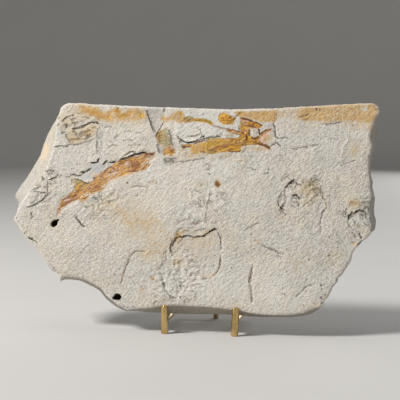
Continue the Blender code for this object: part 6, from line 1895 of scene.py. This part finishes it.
class StoneSettings(bpy.types.PropertyGroup):
    grain_depth: FloatProperty(
        name="Grain depth", description="Height of the fine relief on the split faces",
        default=0.43 * MM, min=0.0, max=1.5 * MM, unit="LENGTH", precision=5,
    )
    stone: colour_property("Stone", "Bare limestone", (0.528, 0.500, 0.447))
    stone_warm: colour_property("Warm stone", "Limestone where it is a little warmer", (0.546, 0.487, 0.394))
    stone_cool: colour_property("Cool stone", "Limestone where it is a little greener", (0.452, 0.457, 0.419))
    stone_lilac: colour_property("Lilac stone", "Limestone where it is pinker", (0.513, 0.466, 0.449))
    # Painted shade: the dark colour laid into the small pits.
    stone_pit: colour_property("Pits", "Small pits in the stone", (0.300, 0.270, 0.220))
    # Pale fresh stone, and the colour of the painted highlights on lit lips, ridges and rims.
    chalk: colour_property("Chalk", "Fresh bright breaks and lips", (0.72, 0.69, 0.63))
    ash: colour_property("Ash", "Pale cool stone", (0.470, 0.465, 0.456))
    clay: colour_property("Clay", "Grey filler and bone", (0.330, 0.320, 0.302))
    moss: colour_property("Moss", "Olive stains", (0.330, 0.300, 0.160))
    tan: colour_property("Tan", "Soft tan stains", (0.510, 0.418, 0.290))
    gold: colour_property("Gold", "Golden bands along the top", (0.585, 0.418, 0.200))
    gold_deep: colour_property("Deep gold", "Darker grain of the bands", (0.410, 0.230, 0.080))
    ochre: colour_property("Ochre", "The fish's bone", (0.412, 0.198, 0.030))
    ochre_deep: colour_property("Deep ochre", "Darkest streaks of the bone", (0.205, 0.090, 0.020))
    ochre_bright: colour_property("Bright ochre", "Brighter streaks of the bone", (0.585, 0.295, 0.036))
    ochre_pale: colour_property("Pale ochre", "Palest flecks of the bone", (0.700, 0.430, 0.075))
    mustard: colour_property("Mustard", "Yellower bone", (0.620, 0.392, 0.062))
    mustard_deep: colour_property("Deep mustard", "Darker grain of the yellower bone", (0.345, 0.190, 0.042))
    peach: colour_property("Peach", "Stain on the broken edge", (0.720, 0.510, 0.290))
    rose: colour_property("Rose", "Pinkish bone and its edges", (0.600, 0.370, 0.260))
    rust: colour_property("Rust", "Red-brown bones", (0.300, 0.115, 0.045))
    rust_deep: colour_property("Deep rust", "Darkest bones", (0.110, 0.042, 0.020))
    # Dark brown painted into the creases and the faint dark lines as shade.
    crease_and_line_shade: colour_property("Umber", "Dirt in the creases", (0.090, 0.060, 0.032))
    soil: colour_property("Soil", "Brown border of the cracks", (0.250, 0.165, 0.085))


class StandSettings(bpy.types.PropertyGroup):
    sides: IntProperty(name="Sides", description="Faces round each rod", default=64, min=12, max=128)
    brass: colour_property("Brass", "Polished brass", (0.660, 0.480, 0.220))
    brass_dull: colour_property("Dull brass", "Brass that has been handled", (0.460, 0.320, 0.135))
    tarnish: colour_property("Tarnish", "Small dark spots", (0.180, 0.110, 0.050))


def power_property(name, description, default):
    return FloatProperty(name=name, description=description, default=default, min=0.0, unit="POWER")


class StageSettings(bpy.types.PropertyGroup):
    floor: colour_property("Floor", "Plain floor and sweep", (0.50, 0.49, 0.475))
    key_power: power_property("Key light", "Soft light from the upper left", 84.0)
    fill_power: power_property("Fill light", "Wide soft light from the right", 3.0)
    top_power: power_property("Top light", "Soft light over the sweep", 7.0)
    back_power: power_property("Back light", "Wide soft light on the slab's back", 22.0)
    sky: FloatProperty(
        name="Surroundings", description="Strength of the even light around", default=0.10, min=0.0,
    )


# --- making objects -----------------------------------------------------------------------------

def linked(name, data, *materials):
    obj = bpy.data.objects.new(name, data)
    bpy.context.scene.collection.objects.link(obj)
    data.materials.clear()
    for material in materials:
        data.materials.append(material)
    return obj


def smooth(data, angle):
    data.shade_smooth()
    data.set_sharp_from_angle(angle=math.radians(angle))


class FOSSIL_OT_slab(bpy.types.Operator):
    """Build the stone with its relief and stains"""

    bl_idname = "fossil.slab"
    bl_label = "Slab"

    def execute(self, context):
        settings = context.scene.fossil_stone
        data = slab_mesh(settings)
        material_index = np.zeros(len(data.polygons), np.int32)
        data.polygons.foreach_get("material_index", material_index)
        slab = linked("limestone_slab", data, limestone_face(settings), limestone_break(settings))
        data.polygons.foreach_set("material_index", material_index)
        smooth(data, 38)
        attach(slab, "root")
        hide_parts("slab")
        return {"FINISHED"}


# --- the stand ----------------------------------------------------------------------------------

POLE_SHARE = 0.06  # share of the grid's rows that closes each end
WELD_DISTANCE = 2e-6


def rod_tree():
    """Geometry nodes for a turned rod: a grid wrapped round the axis, its two ends rounded."""
    tree = bpy.data.node_groups.new("Turned rod", "GeometryNodeTree")
    face = tree.interface
    for name, kind, default in (
        ("Diameter", FLOAT, 0.008), ("Length", FLOAT, 0.03), ("Foot round", FLOAT, 0.0003),
        ("Top round", FLOAT, 0.0007), ("Sides", "NodeSocketInt", 64), ("Rows", "NodeSocketInt", 24),
        ("Material", "NodeSocketMaterial", None),
    ):
        made = face.new_socket(name, in_out="INPUT", socket_type=kind)
        if default is not None:
            made.default_value = default
    face.new_socket("Geometry", in_out="OUTPUT", socket_type="NodeSocketGeometry")
    given = tree.nodes.new("NodeGroupInput").outputs
    out = tree.nodes.new("NodeGroupOutput")

    around = plus(tree, given["Sides"], 1.0)
    grid = add_node(tree, "GeometryNodeMeshGrid", {0: 1.0, 1: 1.0, 2: around, 3: given["Rows"]})
    position = add_node(tree, "GeometryNodeInputPosition").outputs[0]
    spot = add_node(tree, "ShaderNodeSeparateXYZ", {0: position})
    turn = times(tree, plus(tree, spot.outputs[0], 0.5), 2 * math.pi)
    upper = maths(tree, "GREATER_THAN", spot.outputs[1], 0.0)
    inner_rows = maths(tree, "DIVIDE", spot.outputs[1], minus(tree, 1.0, POLE_SHARE))
    angle = times(tree, clamped(tree, inner_rows, -0.5, 0.5), math.pi)
    on_side = maths(tree, "LESS_THAN", maths(tree, "ABSOLUTE", spot.outputs[1]), 0.4999)
    round_by = picked(tree, upper, given["Foot round"], given["Top round"])
    radius = minus(tree, times(tree, given["Diameter"], 0.5), round_by)
    radius = plus(tree, radius, times(tree, round_by, maths(tree, "COSINE", angle)))
    radius = times(tree, radius, on_side)
    lift = times(tree, round_by, maths(tree, "SINE", angle))
    foot_height = plus(tree, given["Foot round"], lift)
    top_height = plus(tree, minus(tree, given["Length"], given["Top round"]), lift)
    height = picked(tree, upper, foot_height, top_height)
    wrapped = add_node(tree, "ShaderNodeCombineXYZ", {
        0: times(tree, radius, maths(tree, "COSINE", turn)),
        1: times(tree, radius, maths(tree, "SINE", turn)),
        2: height,
    })
    made = grid.outputs[0]
    for kind, inputs in (
        ("GeometryNodeSetPosition", {"Position": wrapped.outputs[0]}),
        ("GeometryNodeMergeByDistance", {"Distance": WELD_DISTANCE}),
        ("GeometryNodeRealizeInstances", {}),
        ("GeometryNodeSetMaterial", {"Material": given["Material"]}),
    ):
        made = add_node(tree, kind, {"Geometry": made, **inputs}).outputs[0]
    tree.links.new(made, out.inputs[0])
    return tree


def clamped(tree, value, low, high):
    return add_node(tree, "ShaderNodeClamp", {0: value, 1: low, 2: high}).outputs[0]


def picked(tree, upper, foot, top):
    """The foot's value on the lower half and the top's value on the upper half."""
    return add_node(tree, "ShaderNodeMix", {0: upper, 2: foot, 3: top}, data_type="FLOAT").outputs[0]


def turned_rod(name, material, sides, **sizes):
    """A plain mesh object made with the rod's geometry nodes, along +Z from the origin."""
    tree = bpy.data.node_groups.get("Turned rod") or rod_tree()
    holder = linked(name + "_rod", bpy.data.meshes.new(name + "_rod"))
    modifier = holder.modifiers.new("Rod", "NODES")
    modifier.node_group = tree
    values = {"Sides": sides, "Material": material, "Rows": 26}
    values.update({key.replace("_", " ").capitalize(): value for key, value in sizes.items()})
    for item in tree.interface.items_tree:
        if item.item_type == "SOCKET" and item.in_out == "INPUT" and item.name in values:
            modifier[item.identifier] = values[item.name]
    bpy.context.view_layer.update()
    graph = bpy.context.evaluated_depsgraph_get()
    data = bpy.data.meshes.new_from_object(holder.evaluated_get(graph))
    bpy.data.objects.remove(holder)
    made = bmesh.new()
    made.from_mesh(data)
    bmesh.ops.remove_doubles(made, verts=made.verts, dist=WELD_DISTANCE)
    bmesh.ops.recalc_face_normals(made, faces=made.faces)
    made.to_mesh(data)
    made.free()
    data.name = name
    return linked(name, data, material)


def bake_place(obj, matrix):
    """The object's place goes into its mesh, and the object stays at the origin."""
    obj.data.transform(matrix)
    obj.data.update()


def cut_away(obj, cutter):
    """Cut one closed mesh away from another, and remove the cutter."""
    modifier = obj.modifiers.new("Cut", "BOOLEAN")
    modifier.operation = "DIFFERENCE"
    modifier.object = cutter
    bpy.context.view_layer.update()
    graph = bpy.context.evaluated_depsgraph_get()
    data = bpy.data.meshes.new_from_object(obj.evaluated_get(graph))
    obj.modifiers.clear()
    old = obj.data
    obj.data = data
    bpy.data.meshes.remove(old)
    bpy.data.objects.remove(cutter)


def between(start, end):
    """Placement that carries a rod along +Z on to the line from start to end."""
    return Matrix.Translation(start) @ (end - start).to_track_quat("Z", "Y").to_matrix().to_4x4()


def finish_piece(obj, node):
    smooth(obj.data, 40)
    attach(obj, "root")
    if node:
        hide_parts(node)


POST_DIAMETER = 8.0 * MM
ROD_DIAMETER = 6.0 * MM
GAP = 0.3 * MM
POST_LEANS = {"left": 0.0, "right": math.radians(2.9)}
POST_FOOT_ROUND = 0.25 * MM
POST_DOME = 0.7 * MM
ROD_END_ROUND = 0.1 * MM
ARM_END_ROUND = 0.5 * MM
LEG_TIP_ROUND = 1.8 * MM
LEG_TIP_SIDE = ROD_DIAMETER / 2 - LEG_TIP_ROUND
POST_CUTTER = 40.0 * MM  # lengths of what is cut away
BAR_CUTTER = 30.0 * MM
FLOOR_CUTTER = 40.0 * MM
LEG_EXTRA = 10.0 * MM  # how far the leg runs on below the floor before it is cut


def post_foot(side):
    """The middle of a post's foot. The right post's box is wider by its lean."""
    low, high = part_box(f"{side}_post")
    return Vector((low.x + POST_DIAMETER / 2, (low.y + high.y) / 2, 0.0))


def post_placement(side):
    """A post's place, sheared sideways by its lean."""
    shear = Matrix.Identity(4)
    shear[0][2] = math.tan(POST_LEANS[side])
    return Matrix.Translation(post_foot(side)) @ shear


def arm_axis(side):
    """Start (on the post's axis) and end of an arm's axis."""
    low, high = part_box(f"{side}_arm")
    x, z = (low.x + high.x) / 2, (low.z + high.z) / 2
    return Vector((x, post_foot(side).y, z)), Vector((x, high.y, z))


def leg_axis():
    """Foot and tip of the rear leg's axis, from its box."""
    low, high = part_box("back_leg")
    x = (low.x + high.x) / 2
    foot = Vector((x, 0.0, 0.0))
    tip = Vector((x, low.y, high.z))
    run = (tip - Vector((x, high.y, 0.0))).normalized()
    for _ in range(4):
        half_foot = ROD_DIAMETER / 2 / run.z
        foot = Vector((x, high.y - half_foot, 0.0))
        tip = Vector((x, low.y + LEG_TIP_SIDE * run.z, high.z + LEG_TIP_SIDE * run.y))
        run = (tip - foot).normalized()
    return foot, tip


class FOSSIL_OT_posts(bpy.types.Operator):
    """Build the two front posts"""

    bl_idname = "fossil.posts"
    bl_label = "Posts"

    def execute(self, context):
        settings = context.scene.fossil_stand
        brass = brass_material("post brass", settings, 0.12, (0.15, 0.15, 1.0))
        for side in POST_LEANS:
            post = turned_rod(
                f"{side}_post_turned", brass, settings.sides, diameter=POST_DIAMETER,
                length=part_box(f"{side}_post")[1].z, foot_round=POST_FOOT_ROUND, top_round=POST_DOME,
            )
            bake_place(post, post_placement(side))
            finish_piece(post, f"{side}_post")
        return {"FINISHED"}


class FOSSIL_OT_rods(bpy.types.Operator):
    """Build the arms, the cross bar and the rear leg"""

    bl_idname = "fossil.rods"
    bl_label = "Rods"

    def execute(self, context):
        settings = context.scene.fossil_stand
        brass = brass_material("rod brass", settings, 0.22, (1.0, 0.12, 1.0))
        for side in POST_LEANS:
            start, end = arm_axis(side)
            arm = turned_rod(
                f"{side}_arm_rod", brass, settings.sides, diameter=ROD_DIAMETER,
                length=(end - start).length, foot_round=ROD_END_ROUND, top_round=ARM_END_ROUND,
            )
            bake_place(arm, between(start, end))
            cope = turned_rod(
                "cope", brass, settings.sides, diameter=POST_DIAMETER + 2 * GAP, length=POST_CUTTER,
            )
            bake_place(cope, post_placement(side))
            cut_away(arm, cope)
            finish_piece(arm, f"{side}_arm")
        self.make_cross_bar(brass, settings)
        self.make_leg(brass, settings)
        return {"FINISHED"}

    def make_cross_bar(self, brass, settings):
        low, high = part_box("cross_bar")
        y = (low.y + high.y) / 2
        ends = [Vector((arm_axis(side)[0].x, y, arm_axis(side)[0].z)) for side in ("left", "right")]
        bar = turned_rod(
            "cross_bar_rod", brass, settings.sides, diameter=ROD_DIAMETER,
            length=(ends[1] - ends[0]).length, foot_round=ROD_END_ROUND, top_round=ROD_END_ROUND,
        )
        bake_place(bar, between(*ends))
        for end in ends:
            cope = turned_rod(
                "cope", brass, settings.sides, diameter=ROD_DIAMETER + 2 * GAP, length=BAR_CUTTER,
            )
            reach = Vector((0.0, BAR_CUTTER / 2, 0.0))
            bake_place(cope, between(end - reach, end + reach))
            cut_away(bar, cope)
        finish_piece(bar, "cross_bar")

    def make_leg(self, brass, settings):
        foot, tip = leg_axis()
        run = (tip - foot).normalized()
        start = foot - run * LEG_EXTRA
        leg = turned_rod(
            "back_leg_rod", brass, settings.sides, diameter=ROD_DIAMETER,
            length=(tip - start).length, foot_round=ROD_END_ROUND, top_round=LEG_TIP_ROUND,
        )
        bake_place(leg, between(start, tip))
        below = bmesh.new()
        bmesh.ops.create_cube(below, size=FLOOR_CUTTER)
        data = bpy.data.meshes.new("below")
        below.to_mesh(data)
        below.free()
        cutter = linked("below", data, brass)
        bake_place(cutter, Matrix.Translation((foot.x, foot.y, -FLOOR_CUTTER / 2)))
        cut_away(leg, cutter)
        finish_piece(leg, "back_leg")


LIGHTS = (  # name, place, size, colour
    ("key", (-1.58, -0.86, 1.83), (0.58, 0.58), (1.0, 0.985, 0.96)),
    ("fill", (1.3, -1.5, 0.6), (1.2, 1.2), (0.95, 0.975, 1.0)),
    ("top", (0.0, 0.35, 1.6), (1.6, 1.2), (1.0, 1.0, 1.0)),
    ("back", (1.0, 2.3, 0.9), (1.8, 1.4), (1.0, 1.0, 1.0)),
)
LIGHT_TARGET = Vector((0.0, 0.0, 0.12))
SKY_COLOUR = (0.95, 0.97, 1.0, 1.0)


class FOSSIL_OT_stage(bpy.types.Operator):
    """Build the floor, the lights and the camera"""

    bl_idname = "fossil.stage"
    bl_label = "Stage"

    def execute(self, context):
        settings = context.scene.fossil_stage
        self.make_floor(settings)
        for name, place, size, colour in LIGHTS:
            self.make_light(name, place, size, getattr(settings, name + "_power"), colour)
        world = bpy.data.worlds.new("studio")
        world.use_nodes = True
        background = world.node_tree.nodes["Background"]
        background.inputs[0].default_value = SKY_COLOUR
        background.inputs[1].default_value = settings.sky
        context.scene.world = world
        context.scene.view_settings.view_transform = "Standard"
        self.make_camera(context.scene)
        return {"FINISHED"}

    def make_floor(self, settings):
        """A plain round floor that sweeps up all round into a backdrop."""
        flat, sweep, top, sides, turns = 3.2, 1.0, 3.6, 96, 16
        profile = [(0.3, 0.0), (1.0, 0.0), (2.0, 0.0)]
        profile += [
            (flat + sweep * math.sin(a), sweep * (1 - math.cos(a)))
            for a in (math.radians(90) * i / turns for i in range(turns + 1))
        ]
        profile.append((flat + sweep, top))
        verts = [(0.0, 0.0, 0.0)]
        for radius, height in profile:
            for i in range(sides):
                a = 2 * math.pi * i / sides
                verts.append((radius * math.cos(a), radius * math.sin(a), height))
        faces = [(0, 1 + i, 1 + (i + 1) % sides) for i in range(sides)]
        for row in range(len(profile) - 1):
            low, high = 1 + row * sides, 1 + (row + 1) * sides
            for i in range(sides):
                after = (i + 1) % sides
                faces.append((low + i, high + i, high + after, low + after))
        data = bpy.data.meshes.new("floor")
        data.from_pydata(verts, [], faces)
        floor = linked("floor", data, floor_material(settings))
        data.shade_smooth()

    def make_light(self, name, place, size, power, colour):
        light = bpy.data.lights.new(name, "AREA")
        light.shape = "RECTANGLE"
        light.size, light.size_y = size
        light.energy = power
        light.color = colour
        obj = bpy.data.objects.new(name, light)
        aim = LIGHT_TARGET - Vector(place)
        obj.matrix_world = Matrix.Translation(place) @ aim.to_track_quat("-Z", "Y").to_matrix().to_4x4()
        bpy.context.scene.collection.objects.link(obj)

    def make_camera(self, scene):
        """The camera stands at the drawing's viewpoint, and the frame is as wide as the drawing grid."""
        camera = bpy.data.cameras.new("camera")
        camera.sensor_width = SENSOR_WIDTH
        camera.sensor_fit = "HORIZONTAL"
        camera.lens = SENSOR_WIDTH * VIEW_DISTANCE / (GRID_WIDTH * GRID_SQUARE)
        obj = bpy.data.objects.new("camera", camera)
        turn = Matrix((VIEW_RIGHT, VIEW_UP, -VIEW_AHEAD)).transposed().to_4x4()
        obj.matrix_world = Matrix.Translation(MIDDLE + EYE) @ turn
        scene.collection.objects.link(obj)
        scene.camera = obj


class FOSSIL_PT_panel(bpy.types.Panel):
    """Lists the pieces and their settings"""

    bl_idname = "FOSSIL_PT_panel"
    bl_label = "Fossil Fish Slab"
    bl_space_type = "VIEW_3D"
    bl_region_type = "UI"
    bl_category = "Fossil"

    def draw(self, context):
        layout = self.layout
        groups = (
            (context.scene.fossil_stone, ("fossil.slab",)),
            (context.scene.fossil_stand, ("fossil.posts", "fossil.rods")),
            (context.scene.fossil_stage, ("fossil.stage",)),
        )
        for settings, operators in groups:
            box = layout.box()
            for name in settings.bl_rna.properties.keys():
                if name not in ("rna_type", "name"):
                    box.prop(settings, name)
            for operator in operators:
                box.operator(operator)


CLASSES = (
    StoneSettings, StandSettings, StageSettings, FOSSIL_OT_slab, FOSSIL_OT_posts, FOSSIL_OT_rods,
    FOSSIL_OT_stage, FOSSIL_PT_panel,
)


def register():
    for cls in CLASSES:
        bpy.utils.register_class(cls)
    bpy.types.Scene.fossil_stone = PointerProperty(type=StoneSettings)
    bpy.types.Scene.fossil_stand = PointerProperty(type=StandSettings)
    bpy.types.Scene.fossil_stage = PointerProperty(type=StageSettings)


def unregister():
    del bpy.types.Scene.fossil_stage
    del bpy.types.Scene.fossil_stand
    del bpy.types.Scene.fossil_stone
    for cls in reversed(CLASSES):
        bpy.utils.unregister_class(cls)


def main():
    register()
    bpy.ops.fossil.stage()
    bpy.ops.fossil.slab()
    bpy.ops.fossil.posts()
    bpy.ops.fossil.rods()


if __name__ == "__main__":
    main()
